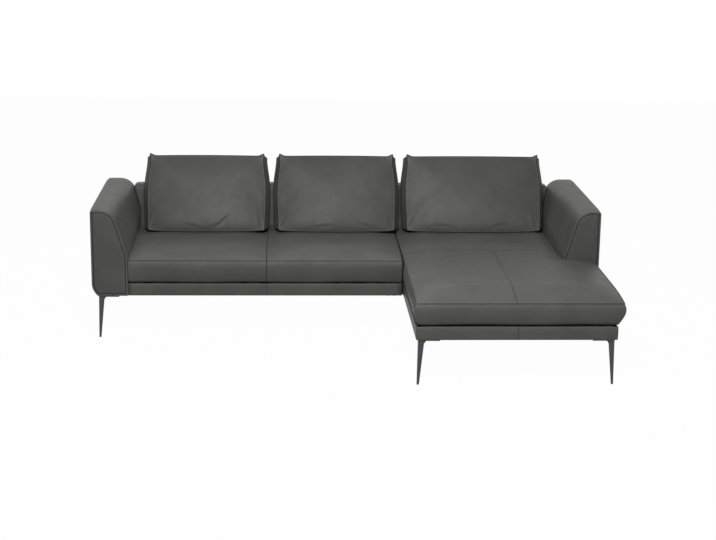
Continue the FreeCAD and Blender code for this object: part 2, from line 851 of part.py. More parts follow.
def make_chaise_base():
    west = "chaise_side"
    east = "chaise_end"
    front = "chaise_front"
    back = "seat_back - snug"
    step = "arm_front - snug"
    shelf = "inner - snug"
    path = [(west, step), (west, front), (east, front), (east, step)]
    make_border("chaise_border", path, (west, step), 1)
    west_in = f"{west} + leather"
    make_rails("chaise", [
        ("front_rail", (west_in, f"{east} - leather"), (f"{front} + leather", f"{front} + leather + rail")),
        ("rear_rail", (west_in, shelf), (f"{back} - rail", back)),
        ("left_rail", (west_in, f"{west_in} + rail"), (f"{front} + leather + rail", f"{back} - rail")),
        ("right_rail", (f"{east} - leather - rail", f"{east} - leather"),
         (f"{front} + leather + rail", f"{step} - rail")),
        ("arm_rail", (f"{shelf} - rail", shelf), (step, f"{back} - rail")),
        ("cross_rail", (f"{west_in} + rail", f"{east} - leather"), (f"{step} - rail", step)),
        ("middle_rail", (f"{west_in} + rail", f"{east} - leather - rail"),
         (f"({front} + {step} - rail) / 2", f"({front} + {step} + rail) / 2")),
    ])
    corner_blocks("chaise_corner_blocks", [
        (f"{west_in} + rail", f"{front} + leather + rail", 1, 1),
        (f"{east} - leather - rail", f"{front} + leather + rail", -1, 1),
        (f"{west_in} + rail", f"{back} - rail", 1, -1),
        (f"{shelf} - rail", f"{back} - rail", -1, -1),
        (f"{east} - leather - rail", f"{step} - rail", -1, -1),
    ])
    start = f"{west} + border_lip + snug"
    front_spans = strap_spans(f"{front} + leather + rail", f"{step} - rail", SIZES["chaise_front_webs"])
    rear_spans = strap_spans(step, f"{back} - rail", SIZES["chaise_rear_webs"])
    straps = [((start, f"{east} - border_lip - snug"), strap_y) for strap_y in front_spans]
    straps += [((start, f"{shelf} - 2"), strap_y) for strap_y in rear_spans]
    make_webbing("chaise_webbing", straps)
    under = ("frame_low - cover_sheet", "frame_low")
    edge = "(border_return + snug)"
    sheet_x = (f"{west} + {edge}", f"{east} - {edge}")
    front_sheet = block("chaise_sheet_front", sheet_x, (f"{front} + {edge}", step), under)
    rear_sheet = block("chaise_sheet_rear", (west_in, shelf), (step, back), under)
    keep(fuse("chaise_sheet", [front_sheet, rear_sheet]), "chaise_dust_cover")


# Legs


def make_leg():
    """A tapered, ridged blade that flares into a two-armed corner plate, with its glide and screws.

    It is drawn at a corner of the base with the plate's arms along +X and +Y.
    """
    plate_low = "floor_gap - leg_plate_thick"
    neck = f"{plate_low} - leg_flare_height"
    wide = "leg_plate_width"
    plate = new_body("leg_plate_body")
    plan = outline(plate, "leg_plate_plan", "XY_Plane", plate_low, [
        ("0", "0"),
        ("leg_plate", "0"),
        ("leg_plate", f"{wide} - leg_plate_bevel"),
        ("leg_plate - leg_plate_bevel", wide),
        ("leg_plate_web + leg_plate_bevel", wide),
        (wide, "leg_plate_web + leg_plate_bevel"),
        (wide, "leg_plate - leg_plate_bevel"),
        (f"{wide} - leg_plate_bevel", "leg_plate"),
        ("0", "leg_plate"),
    ])
    pad(plate, plan, "leg_plate_thick")

    toe = ("-leg_splay", "leg_foot - leg_splay")
    slim = ("0", "leg_top")
    broad = ("0", "leg_top + leg_flare")
    # the ridge's two facets lie across the corner, so their wedges are turned by 45 degrees
    edge = "leg_edge / sqrt(2)"
    toe_ridge = (
        "(leg_edge / 2 - 2 * leg_splay) / sqrt(2)",
        "(leg_foot + leg_ridge / 2 - 2 * leg_splay) / sqrt(2)",
    )
    slim_ridge = (edge, "(leg_top + leg_ridge) / sqrt(2)")
    broad_ridge = (edge, "(leg_top + leg_ridge + 1.5 * leg_flare) / sqrt(2)")
    across = ("-leg_top * 2", "leg_top * 2")
    tall = ("glide_height", neck)
    blade = common("leg_blade", [
        wedge("leg_taper", (toe, toe), (slim, slim), tall),
        wedge("leg_facets", (toe_ridge, across), (slim_ridge, across), tall, 45),
    ])
    tall = (neck, plate_low)
    flare = common("leg_flare_piece", [
        wedge("leg_flare_taper", (slim, slim), (broad, broad), tall),
        wedge("leg_flare_facets", (slim_ridge, across), (broad_ridge, across), tall, 45),
    ])

    far = "leg_plate - screw_edge"
    near = "leg_plate_width / 2"
    holes = []
    screws = []
    for number, spot in enumerate(((far, near), (near, far)), 1):
        holes.append(
            cylinder(f"leg_hole_{number}", *spot, f"{plate_low} - 1", "screw_hole", "leg_plate_thick + 2"),
        )
        shank = cylinder(f"leg_screw_shank_{number}", *spot, plate_low, "screw_radius", "screw_length")
        head_low = f"{plate_low} - screw_head_height"
        head = prism(f"leg_screw_head_{number}", *spot, head_low, "screw_head", "screw_head_height")
        screws.append(fuse(f"leg_screw_{number}", [shank, head]))
    leg = cut("leg_shape", fuse("leg_solid", [plate, flare, blade]), fuse("leg_holes", holes))
    centre = "leg_foot * 0.45 - leg_splay"
    glide = prism("glide", centre, centre, "0", "glide_radius", "glide_height")
    return leg, group("leg_screw_pair", screws), glide


def make_legs():
    arm_corner = "side - arm_tuck_width - leg_inset_side / 2"
    leg, screw_pair, glide = make_leg()
    # name, corner of the plate, turn about Z
    corners = [
        ("front_left", f"-({arm_corner})", "arm_front + leg_inset_front", 0),
        ("rear_left", f"-({arm_corner})", "rear - leg_inset_rear", 270),
        ("rear_middle_left", "seater_end - leg_inset_side", "rear - leg_inset_rear", 180),
        ("rear_middle_right", "chaise_side + leg_inset_side", "rear - leg_inset_rear", 270),
        ("rear_right", arm_corner, "rear - leg_inset_rear", 180),
        ("front_right", arm_corner, "arm_front + leg_inset_front", 90),
        ("chaise_left", "chaise_side + leg_inset_side", "chaise_front + leg_inset_front", 0),
        ("chaise_right", "chaise_end - leg_inset_side", "chaise_front + leg_inset_front", 90),
    ]
    for name, *spot in corners:
        keep(placed(f"leg_{name}_placed", leg, *spot), f"leg_{name}")
    for label, shape in (("leg_glides", glide), ("leg_screws", screw_pair)):
        keep(
            group(label + "_set", [placed(f"{label}_{name}", shape, *spot) for name, *spot in corners]),
            label,
        )


# Connectors and fixings


def make_connectors():
    """Stepped tongues under the two-seater's right rail, each hooked over the lip of a socket
    under the chaise's left rail."""
    top = "frame_low - cover_sheet"
    plate = "connector_plate"
    tongue_top = f"({top} - connector_step)"
    tongue_low = f"({tongue_top} - {plate})"
    bend = "seater_end - module_gap"
    hook = [
        ("seater_end - connector_reach", top),
        ("seater_end - connector_reach", f"{top} - {plate}"),
        (f"{bend} - {plate}", f"{top} - {plate}"),
        (f"{bend} - {plate}", tongue_low),
        ("chaise_side + connector_reach - 2 * connector_plate", tongue_low),
        ("chaise_side + connector_reach - 2 * connector_plate", tongue_top),
        (bend, tongue_top),
        (bend, top),
    ]
    lip_top = f"({tongue_low} - snug)"
    lip_low = f"({lip_top} - {plate})"
    far = "chaise_side + connector_reach"
    socket = [
        (f"chaise_side + {plate}", top),
        (f"chaise_side + {plate}", f"{top} - {plate}"),
        (f"{far} - {plate}", f"{top} - {plate}"),
        (f"{far} - {plate}", lip_top),
        (f"chaise_side + 2 * {plate}", lip_top),
        (f"chaise_side + 2 * {plate}", lip_low),
        (far, lip_low),
        (far, top),
    ]
    for label, points in (("connector_hooks", hook), ("connector_sockets", socket)):
        pieces = []
        for place in ("connector_front", "connector_rear"):
            body = new_body(f"{label}_{place}")
            profile = outline(
                body,
                f"{label}_{place}_side",
                "XZ_Plane",
                f"{place} + connector_width / 2",
                points,
            )
            pad(body, profile, "connector_width")
            pieces.append(body)
        keep(group(label + "_set", pieces), label)


def make_fixings():
    """Coach screws from inside the base frames, level with the middle of the rails."""
    level = "(frame_low + frame_high) / 2"
    front = "seat_front + rail + fixing_inset"
    rear = "seat_back - rail - fixing_inset"
    back = "seat_back - snug - rail"
    # name, head's place on the rail's inner face, direction into the arm or back
    spots = [
        ("left_front", "left_start + rail", front, (-1, 0, 0)),
        ("left_rear", "left_start + rail", rear, (-1, 0, 0)),
        ("right_front", "inner - snug - rail", front, (1, 0, 0)),
        ("right_rear", "inner - snug - rail", rear, (1, 0, 0)),
        ("seater_back_left", "left_start + rail + fixing_inset", back, (0, 1, 0)),
        ("seater_back_right", "seater_end - rail - fixing_inset", back, (0, 1, 0)),
        ("chaise_back_left", "chaise_side + rail + fixing_inset", back, (0, 1, 0)),
        ("chaise_back_right", "inner - rail - fixing_inset", back, (0, 1, 0)),
    ]
    screws = []
    for name, x, y, direction in spots:
        into = FreeCAD.Rotation(Vector(0, 0, 1), Vector(*direction))
        head_x = f"({x}) - ({direction[0]}) * fixing_head_height"
        head_y = f"({y}) - ({direction[1]}) * fixing_head_height"
        head = prism(f"fixing_head_{name}", head_x, head_y, level, "fixing_head", "fixing_head_height")
        shank = cylinder(
            f"fixing_shank_{name}",
            x,
            y,
            level,
            "fixing_radius",
            "rail + arm_padding + fixing_bite",
        )
        for piece in (head, shank):
            piece.Placement.Rotation = into
        screws.append(fuse(f"fixing_{name}", [head, shank]))
    keep(group("fixing_set", screws), "frame_screws")


make_arm("left", -1)
make_arm("right", 1)
make_back("left", -1, "seater_end")
make_back("right", 1, "chaise_side")
seat_depth = ("seat_front - seat_proud", "seat_back - snug")
make_seat("left", "seat", ("left_start", "seat_split - snug / 2", *seat_depth))
make_seat("middle", "seat", ("seat_split + snug / 2", "seater_end", *seat_depth))
make_seat(
    "chaise",
    "chaise",
    ("chaise_side", "chaise_end", "-total_depth / 2", "seat_back - snug"),
    arm_notch,
)
for place_name in ("left", "middle", "right"):
    make_cushion(place_name)
make_seater_base()
make_chaise_base()
make_legs()
make_connectors()
make_fixings()

doc.recompute()

for obj in doc.Objects:
    if "Invalid" in obj.State or "Error" in obj.State:
        raise RuntimeError(f"{obj.Name} failed: {obj.State}")
for label, obj in NODES.items():
    if obj.Shape.isNull() or not obj.Shape.isValid() or not obj.Shape.Solids:
        raise RuntimeError(f"{label} has no valid solid")

os.makedirs("parts", exist_ok=True)
for label, obj in NODES.items():
    obj.Shape.exportStep(f"parts/{label}.step")
print(len(NODES), "sub-parts written")
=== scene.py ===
"""A corner sofa in smooth leather: two seats, a chaise, three loose back cushions, slim legs."""

import json
import math

import bmesh
import bpy
import numpy as np
from mathutils import Matrix, Vector


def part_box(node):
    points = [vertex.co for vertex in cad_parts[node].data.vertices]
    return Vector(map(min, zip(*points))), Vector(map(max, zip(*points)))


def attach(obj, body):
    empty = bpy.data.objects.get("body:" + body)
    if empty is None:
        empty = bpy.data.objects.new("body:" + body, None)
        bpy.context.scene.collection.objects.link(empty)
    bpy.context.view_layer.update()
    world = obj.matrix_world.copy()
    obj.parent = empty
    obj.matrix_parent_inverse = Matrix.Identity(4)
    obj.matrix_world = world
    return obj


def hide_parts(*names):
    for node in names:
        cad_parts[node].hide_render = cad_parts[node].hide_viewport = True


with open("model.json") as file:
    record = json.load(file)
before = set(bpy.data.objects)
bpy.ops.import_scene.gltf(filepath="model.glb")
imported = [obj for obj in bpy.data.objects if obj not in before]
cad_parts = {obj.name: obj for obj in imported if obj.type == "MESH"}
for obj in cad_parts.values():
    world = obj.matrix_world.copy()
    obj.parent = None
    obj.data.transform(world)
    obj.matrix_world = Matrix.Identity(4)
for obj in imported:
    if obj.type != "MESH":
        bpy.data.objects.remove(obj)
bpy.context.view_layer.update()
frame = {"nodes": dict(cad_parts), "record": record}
nodes = frame["nodes"]
scene = bpy.context.scene

# Shapes are worked out in millimetres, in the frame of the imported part, and turned into metres
# when a mesh is made.
MM = 0.001

# Across the sofa from its middle: the arms' inner and outer sides, the facing sides of the two
# modules, the line between the two seats, the chaise's long seam and its base's right side
INNER = 1137.0
SIDE = 1325.0
SEATER_END = 290.0
CHAISE_SIDE = 298.0
SEAT_SPLIT = -419.0
CHAISE_SEAM = 785.0
BASE_END = 1266.0

# From front to rear: the front of the chaise's base, its seam across, the seats' rear, the back
BASE_FRONT = -826.0
CROSS_SEAM = 96.0
SEAT_BACK = 707.0
REAR = 834.0

# Upwards from the floor
FLOOR_GAP = 226.0
BASE_TOP = 291.0
SEAT_CROWN = 440.0
SEAT_TOP = 446.0
BACK_TOP = 667.0
ARM_TOP = 680.0
ARM_FOOT_FRONT = 440.0
ARM_FOOT_REAR = 533.0

# How far the arm's inner side and the backrest's front lean for each millimetre of height
ARM_LEAN = 0.304
BACK_LEAN = 0.2127

# The camera, fitted to the outlines: where it stands, its yaw, pitch and roll, and its lens
CAMERA_PLACE = (-0.33269, -7.84399, 2.34676)
CAMERA_TURN = (0.0498922, 0.2476353, 0.0132711)
CAMERA_LENS = 77.80


# Camera


def make_camera():
    yaw, pitch, roll = CAMERA_TURN
    level = math.cos(pitch)
    forward = Vector((math.sin(yaw) * level, math.cos(yaw) * level, -math.sin(pitch)))
    right = Vector((math.cos(yaw), -math.sin(yaw), 0))
    up = right.cross(forward)
    turned_right = math.cos(roll) * right + math.sin(roll) * up
    turned_up = -math.sin(roll) * right + math.cos(roll) * up
    data = bpy.data.cameras.new("camera")
    data.sensor_width = 36
    data.lens = CAMERA_LENS
    data.clip_end = 60
    camera = bpy.data.objects.new("camera", data)
    turn = Matrix((turned_right, turned_up, -forward)).transposed()
    camera.matrix_world = Matrix.Translation(Vector(CAMERA_PLACE)) @ turn.to_4x4()
    scene.collection.objects.link(camera)
    scene.camera = camera


# Materials


class Surface:
    """A material under construction: adds nodes, links them and sets what they hold."""

    def __init__(self, name):
        self.material = bpy.data.materials.new(name)
        self.material.use_nodes = True
        self.tree = self.material.node_tree
        self.shader = self.tree.nodes["Principled BSDF"]

    def node(self, kind, **values):
        made = self.tree.nodes.new(kind)
        for key, content in values.items():
            if hasattr(made, key):
                setattr(made, key, content)
            else:
                made.inputs[key.replace("_", " ")].default_value = content
        return made

    def link(self, source, target):
        self.tree.links.new(source, target)

    def roughen(self, source, low, high):
        """Lets the roughness follow the source, between two values."""
        made = self.node("ShaderNodeMapRange")
        made.inputs["To Min"].default_value = low
        made.inputs["To Max"].default_value = high
        self.link(source, made.inputs["Value"])
        self.link(made.outputs["Result"], self.shader.inputs["Roughness"])

    def paint(self, source, stops):
        """Lets the colour follow the source, through these shades."""
        made = self.node("ShaderNodeValToRGB")
        elements = made.color_ramp.elements
        while len(elements) < len(stops):
            elements.new(0.5)
        for element, (place, colour) in zip(elements, stops):
            element.position = place
            element.color = (*colour, 1)
        self.link(source, made.inputs["Fac"])
        self.link(made.outputs["Color"], self.shader.inputs["Base Color"])

    def bump(self, height, strength, distance, under=None):
        made = self.node("ShaderNodeBump", Strength=strength, Distance=distance)
        self.link(height, made.inputs["Height"])
        if under is not None:
            self.link(under, made.inputs["Normal"])
        return made.outputs["Normal"]


def leather(name, dark, light, roughness):
    """Smooth pigmented leather: pebbled grain, fine pores, slow creases and a soft sheen."""
    s = Surface(name)
    place = s.node("ShaderNodeTexCoord").outputs["Object"]
    tone = s.node("ShaderNodeTexNoise", Scale=5.0, Detail=4.0, Roughness=0.55)
    grain = s.node("ShaderNodeTexVoronoi", feature="DISTANCE_TO_EDGE", Scale=520.0)
    pores = s.node("ShaderNodeTexNoise", Scale=900.0, Detail=2.0)
    creases = s.node("ShaderNodeTexNoise", Scale=26.0, Detail=5.0, Roughness=0.6, Distortion=0.6)
    waves = s.node("ShaderNodeTexNoise", Scale=7.0, Detail=2.0)
    for texture in (tone, grain, pores, creases, waves):
        s.link(place, texture.inputs["Vector"])
    s.paint(tone.outputs["Fac"], [(0.3, dark), (0.72, light)])
    s.roughen(creases.outputs["Fac"], roughness - 0.07, roughness + 0.09)
    relief = s.bump(waves.outputs["Fac"], 0.35, 0.010)
    relief = s.bump(creases.outputs["Fac"], 0.30, 0.0022, relief)
    relief = s.bump(grain.outputs["Distance"], 0.35, 0.00045, relief)
    relief = s.bump(pores.outputs["Fac"], 0.2, 0.0003, relief)
    s.link(relief, s.shader.inputs["Normal"])
    s.shader.inputs["Specular IOR Level"].default_value = 0.14
    s.shader.inputs["Sheen Weight"].default_value = 0.02
    s.shader.inputs["Sheen Roughness"].default_value = 0.5
    return s.material


def thread(name, colour):
    """Twisted sewing thread."""
    s = Surface(name)
    place = s.node("ShaderNodeTexCoord").outputs["Object"]
    ply = s.node("ShaderNodeTexWave", Scale=700.0, Distortion=1.5)
    s.link(place, ply.inputs["Vector"])
    dark = tuple(c * 0.7 for c in colour)
    s.paint(ply.outputs["Fac"], [(0.2, dark), (0.8, colour)])
    s.link(s.bump(ply.outputs["Fac"], 0.5, 0.0002), s.shader.inputs["Normal"])
    s.shader.inputs["Roughness"].default_value = 0.6
    return s.material


def coated_metal(name, colour, roughness, metallic):
    """Powder coated or plated metal with a faint orange peel and rubbed patches."""
    s = Surface(name)
    place = s.node("ShaderNodeTexCoord").outputs["Object"]
    peel = s.node("ShaderNodeTexNoise", Scale=600.0, Detail=2.0)
    wear = s.node("ShaderNodeTexNoise", Scale=18.0, Detail=6.0, Roughness=0.65)
    for texture in (peel, wear):
        s.link(place, texture.inputs["Vector"])
    light = tuple(min(1.0, c * 1.25) for c in colour)
    s.paint(wear.outputs["Fac"], [(0.35, colour), (0.75, light)])
    s.roughen(wear.outputs["Fac"], roughness - 0.06, roughness + 0.08)
    s.link(s.bump(peel.outputs["Fac"], 0.12, 0.0002), s.shader.inputs["Normal"])
    s.shader.inputs["Metallic"].default_value = metallic
    return s.material


def timber(name):
    """Planed softwood with growth rings drawn out along the rail."""
    s = Surface(name)
    place = s.node("ShaderNodeTexCoord").outputs["Object"]
    stretch = s.node("ShaderNodeMapping")
    stretch.inputs["Scale"].default_value = (2.0, 2.0, 30.0)
    s.link(place, stretch.inputs["Vector"])
    rings = s.node("ShaderNodeTexNoise", Scale=3.0, Detail=6.0, Roughness=0.6, Distortion=1.2)
    fibre = s.node("ShaderNodeTexNoise", Scale=40.0, Detail=3.0)
    for texture in (rings, fibre):
        s.link(stretch.outputs["Vector"], texture.inputs["Vector"])
    stops = [(0.3, (0.40, 0.25, 0.12)), (0.55, (0.62, 0.44, 0.25)), (0.8, (0.72, 0.55, 0.34))]
    s.paint(rings.outputs["Fac"], stops)
    s.link(s.bump(fibre.outputs["Fac"], 0.3, 0.0006), s.shader.inputs["Normal"])
    s.shader.inputs["Roughness"].default_value = 0.7
    return s.material


def cloth(name, dark, light, pitch):
    """Plain woven or spun cloth with its two thread directions."""
    s = Surface(name)
    place = s.node("ShaderNodeTexCoord").outputs["Object"]
    warp = s.node("ShaderNodeTexWave", bands_direction="X", Scale=pitch, Distortion=0.4)
    weft = s.node("ShaderNodeTexWave", bands_direction="Y", Scale=pitch, Distortion=0.4)
    mottle = s.node("ShaderNodeTexNoise", Scale=60.0, Detail=4.0)
    for texture in (warp, weft, mottle):
        s.link(place, texture.inputs["Vector"])
    weave = s.node("ShaderNodeMath", operation="MULTIPLY")
    s.link(warp.outputs["Fac"], weave.inputs[0])
    s.link(weft.outputs["Fac"], weave.inputs[1])
    s.paint(mottle.outputs["Fac"], [(0.3, dark), (0.7, light)])
    s.link(s.bump(weave.outputs["Value"], 0.5, 0.0005), s.shader.inputs["Normal"])
    s.shader.inputs["Roughness"].default_value = 0.9
    return s.material


def foam(name):
    """Open-celled cream foam."""
    s = Surface(name)
    place = s.node("ShaderNodeTexCoord").outputs["Object"]
    cells = s.node("ShaderNodeTexVoronoi", Scale=380.0)
    tone = s.node("ShaderNodeTexNoise", Scale=8.0, Detail=3.0)
    for texture in (cells, tone):
        s.link(place, texture.inputs["Vector"])
    stops = [(0.3, (0.72, 0.66, 0.50)), (0.7, (0.82, 0.77, 0.62))]
    s.paint(tone.outputs["Fac"], stops)
    s.link(s.bump(cells.outputs["Distance"], 0.6, 0.0008), s.shader.inputs["Normal"])
    s.shader.inputs["Roughness"].default_value = 0.95
    return s.material


# Meshes


def make_piece(name, points, faces, material, smooth=True):
    """A mesh object at the origin from points in millimetres."""
    mesh = bpy.data.meshes.new(name)
    mesh.from_pydata((np.asarray(points) * MM).tolist(), [], faces)
    mesh.update()
    piece = bpy.data.objects.new(name, mesh)
    scene.collection.objects.link(piece)
    mesh.materials.append(material)
    if smooth:
        mesh.shade_smooth()
    return piece


def coordinates(piece):
    flat = np.empty(len(piece.data.vertices) * 3)
    piece.data.vertices.foreach_get("co", flat)
    return flat.reshape(-1, 3)


def set_coordinates(piece, spots):
    piece.data.vertices.foreach_set("co", np.asarray(spots).ravel())
    piece.data.update()


def apply_modifiers(piece):
    """Turns what the modifiers give into the piece's own mesh."""
    evaluated = piece.evaluated_get(bpy.context.evaluated_depsgraph_get())
    mesh = bpy.data.meshes.new_from_object(evaluated)
    piece.modifiers.clear()
    piece.data = mesh


def subdivide(piece, levels=1):
    finer = piece.modifiers.new("finer", "SUBSURF")
    finer.levels = levels
    finer.render_levels = levels
    apply_modifiers(piece)
    piece.data.shade_smooth()


def sharpen(piece, edge_keys, amount):
    """Keeps these edges, given as pairs of vertex numbers, crisp under subdivision."""
    crease = piece.data.attributes.new("crease_edge", "FLOAT", "EDGE")
    wanted = {tuple(sorted(pair)) for pair in edge_keys}
    for edge in piece.data.edges:
        if tuple(sorted(edge.vertices)) in wanted:
            crease.data[edge.index].value = amount


def ease(x):
    """A smooth step from 0 to 1."""
    x = np.clip(x, 0, 1)
    return x * x * (3 - 2 * x)


def quarter(steps):
    """The angles of a quarter turn cut in equal steps, with both its ends."""
    return [step / steps * math.pi / 2 for step in range(steps + 1)]


def graded(stops, spacing):
    """Grid lines between the stops, evenly spread at about the spacing."""
    lines = [stops[0]]
    for low, high in zip(stops, stops[1:]):
        count = max(1, round((high - low) / spacing))
        lines.extend(low + (high - low) * (n + 1) / count for n in range(count))
    return np.array(lines)


class Block:
    """The closed outer grid of a block of cells, whose columns may leave out a corner."""

    def __init__(self, columns, rows, layers, filled=lambda i, j: True):
        self.columns, self.rows, self.layers = columns, rows, layers
        self.keys = {}
        self.faces = []
        high = len(layers) - 1
        wide, deep = len(columns) - 1, len(rows) - 1

        def there(i, j):
            return 0 <= i < wide and 0 <= j < deep and filled(i, j)

        for i in range(wide):
            for j in range(deep):
                if not there(i, j):
                    continue
                right, far = i + 1, j + 1
                self.add((i, j, 0), (i, far, 0), (right, far, 0), (right, j, 0))
                self.add((i, j, high), (right, j, high), (right, far, high), (i, far, high))
                for k in range(high):
                    up = k + 1
                    if not there(i, j - 1):
                        self.add((i, j, k), (right, j, k), (right, j, up), (i, j, up))
                    if not there(i, far):
                        self.add((i, far, k), (i, far, up), (right, far, up), (right, far, k))
                    if not there(i - 1, j):
                        self.add((i, j, k), (i, j, up), (i, far, up), (i, far, k))
                    if not there(right, j):
                        self.add((right, j, k), (right, far, k), (right, far, up), (right, j, up))
        self.cells = np.array(list(self.keys))
        self.x = columns[self.cells[:, 0]]
        self.y = rows[self.cells[:, 1]]
        self.z = layers[self.cells[:, 2]]

    def add(self, *corners):
        self.faces.append([self.keys.setdefault(corner, len(self.keys)) for corner in corners])

    def run(self, cells):
        """Vertex numbers along a list of grid points."""
        return [self.keys[cell] for cell in cells]


def outline(corners, arc=8, inset=0.0):
    """A closed line through (a, b, radius, points on the side after it), with rounded corners."""
    spots = [np.array(c[:2], float) for c in corners]
    sides = [np.roll(spots, -1, axis=0)[n] - spots[n] for n in range(len(spots))]
    sides = [side / np.linalg.norm(side) for side in sides]
    area = sum(a[0] * b[1] - b[0] * a[1] for a, b in zip(spots, spots[1:] + spots[:1]))
    inwards = [np.array((-side[1], side[0])) * math.copysign(1, area) for side in sides]
    moved = []
    for n, spot in enumerate(spots):
        before, after = inwards[n - 1], inwards[n]
        moved.append(spot + (before + after) / (1 + before @ after) * inset)
    turns = []
    for n, spot in enumerate(moved):
        back, ahead = -sides[n - 1], sides[n]
        half = math.acos(np.clip(back @ ahead, -1, 1)) / 2
        convex = (back + ahead) @ inwards[n] > 0
        radius = max(corners[n][2] - (inset if convex else -inset), 1.0)
        middle = (back + ahead) / np.linalg.norm(back + ahead)
        centre = spot + middle * radius / math.sin(half)
        reach = radius / math.tan(half)
        first, last = spot + back * reach - centre, spot + ahead * reach - centre
        start = math.atan2(first[1], first[0])
        sweep = (math.atan2(last[1], last[0]) - start + math.pi) % (2 * math.pi) - math.pi
        angles = np.linspace(start, start + sweep, arc)
        turns.append([centre + radius * np.array((math.cos(a), math.sin(a))) for a in angles])
    line = []
    for n, turn in enumerate(turns):
        line.extend(turn)
        following = turns[(n + 1) % len(turns)][0]
        for step in range(1, corners[n][3]):
            line.append(turn[-1] + (following - turn[-1]) * step / corners[n][3])
    return np.array(line)


def drawn_in(line, distance):
    """A closed line moved inwards by a distance."""
    ahead = np.roll(line, -1, axis=0) - np.roll(line, 1, axis=0)
    ahead /= np.linalg.norm(ahead, axis=1)[:, None]
    inwards = np.stack((-ahead[:, 1], ahead[:, 0]), axis=1)
    area = np.sum(line[:, 0] * np.roll(line[:, 1], -1) - np.roll(line[:, 0], -1) * line[:, 1])
    return line + inwards * distance * (1 if area > 0 else -1)


def shrunk(line, share):
    """A closed line drawn towards its middle, for the flat ends of a form."""
    middle = line.mean(axis=0)
    return middle + (line - middle) * share


def skin(rings):
    """Points and faces of a closed form through rings of equal count, capped at both ends."""
    count = len(rings[0])
    points = np.concatenate(rings)
    faces = []
    for r in range(len(rings) - 1):
        for n in range(count):
            m = (n + 1) % count
            faces.append([r * count + n, r * count + m, (r + 1) * count + m, (r + 1) * count + n])
    ends = np.stack((rings[0].mean(axis=0), rings[-1].mean(axis=0)))
    points = np.concatenate((points, ends))
    low, high = len(points) - 2, len(points) - 1
    last = (len(rings) - 1) * count
    for n in range(count):
        m = (n + 1) % count
        faces.append([low, m, n])
        faces.append([high, last + n, last + m])
    return points, faces


def outwards(piece):
    """Turns a closed form's faces outwards."""
    shape = bmesh.new()
    shape.from_mesh(piece.data)
    bmesh.ops.recalc_face_normals(shape, faces=shape.faces)
    shape.to_mesh(piece.data)
    shape.free()
    piece.data.update()


# Cushions: the pressure of their filling


def inflate(piece, held, pressure, frames, cap):
    """Swells a closed form as its filling would, with no point moved further than the cap.

    held is 1 for a point that stays where it is and 0 for one that is free.
    """
    start = coordinates(piece)
    group = piece.vertex_groups.new(name="held")
    for number, weight in enumerate(held):
        if weight > 0:
            group.add([number], float(weight), "REPLACE")
    modifier = piece.modifiers.new("filling", "CLOTH")
    settings = modifier.settings
    settings.quality = 5
    settings.mass = 0.4
    settings.tension_stiffness = 20
    settings.compression_stiffness = 20
    settings.shear_stiffness = 12
    settings.bending_stiffness = 1.2
    settings.vertex_group_mass = "held"
    settings.use_pressure = True
    settings.uniform_pressure_force = pressure
    settings.effector_weights.gravity = 0
    modifier.collision_settings.use_collision = False
    modifier.point_cache.frame_start = 1
    modifier.point_cache.frame_end = frames
    for number in range(1, frames + 1):
        scene.frame_set(number)
    apply_modifiers(piece)
    scene.frame_set(1)
    moved = coordinates(piece) - start
    length = np.linalg.norm(moved, axis=1)
    scale = np.where(length > cap * MM, cap * MM / np.maximum(length, 1e-9), 1)
    set_coordinates(piece, start + moved * scale[:, None])
    piece.vertex_groups.clear()


# Seams and their topstitching, which follow lines on the leather


def path_tree(name, build):
    """A tree that divides a line evenly and builds something along it."""
    tree = bpy.data.node_groups.new(name, "GeometryNodeTree")
    tree.interface.new_socket("Geometry", in_out="INPUT", socket_type="NodeSocketGeometry")
    for label in ("Radius", "Pitch", "Length"):
        tree.interface.new_socket(label, in_out="INPUT", socket_type="NodeSocketFloat")
    tree.interface.new_socket("Finish", in_out="INPUT", socket_type="NodeSocketMaterial")
    tree.interface.new_socket("Geometry", in_out="OUTPUT", socket_type="NodeSocketGeometry")
    start = tree.nodes.new("NodeGroupInput")
    curve = tree.nodes.new("GeometryNodeMeshToCurve")
    even = tree.nodes.new("GeometryNodeResampleCurve")
    even.mode = "LENGTH"
    finish = tree.nodes.new("GeometryNodeSetMaterial")
    end = tree.nodes.new("NodeGroupOutput")
    links = tree.links
    links.new(start.outputs["Geometry"], curve.inputs["Mesh"])
    links.new(curve.outputs["Curve"], even.inputs["Curve"])
    links.new(start.outputs["Pitch"], even.inputs["Length"])
    links.new(build(tree, start, even.outputs["Curve"]), finish.inputs["Geometry"])
    links.new(start.outputs["Finish"], finish.inputs["Material"])
    links.new(finish.outputs["Geometry"], end.inputs["Geometry"])
    return tree


def seam_nodes(tree, start, curve):
    """A tube along the line where two panels are sewn together; its near-black colour is painted
    shade of the seam's groove.
    """
    ring = tree.nodes.new("GeometryNodeCurvePrimitiveCircle")
    ring.inputs["Resolution"].default_value = 8
    sweep = tree.nodes.new("GeometryNodeCurveToMesh")
    sweep.inputs["Fill Caps"].default_value = True
    smooth = tree.nodes.new("GeometryNodeSetShadeSmooth")
    realize = tree.nodes.new("GeometryNodeRealizeInstances")
    links = tree.links
    links.new(start.outputs["Radius"], ring.inputs["Radius"])
    links.new(curve, sweep.inputs["Curve"])
    links.new(ring.outputs["Curve"], sweep.inputs["Profile Curve"])
    links.new(sweep.outputs["Mesh"], smooth.inputs["Geometry"])
    links.new(smooth.outputs["Geometry"], realize.inputs["Geometry"])
    return realize.outputs["Geometry"]


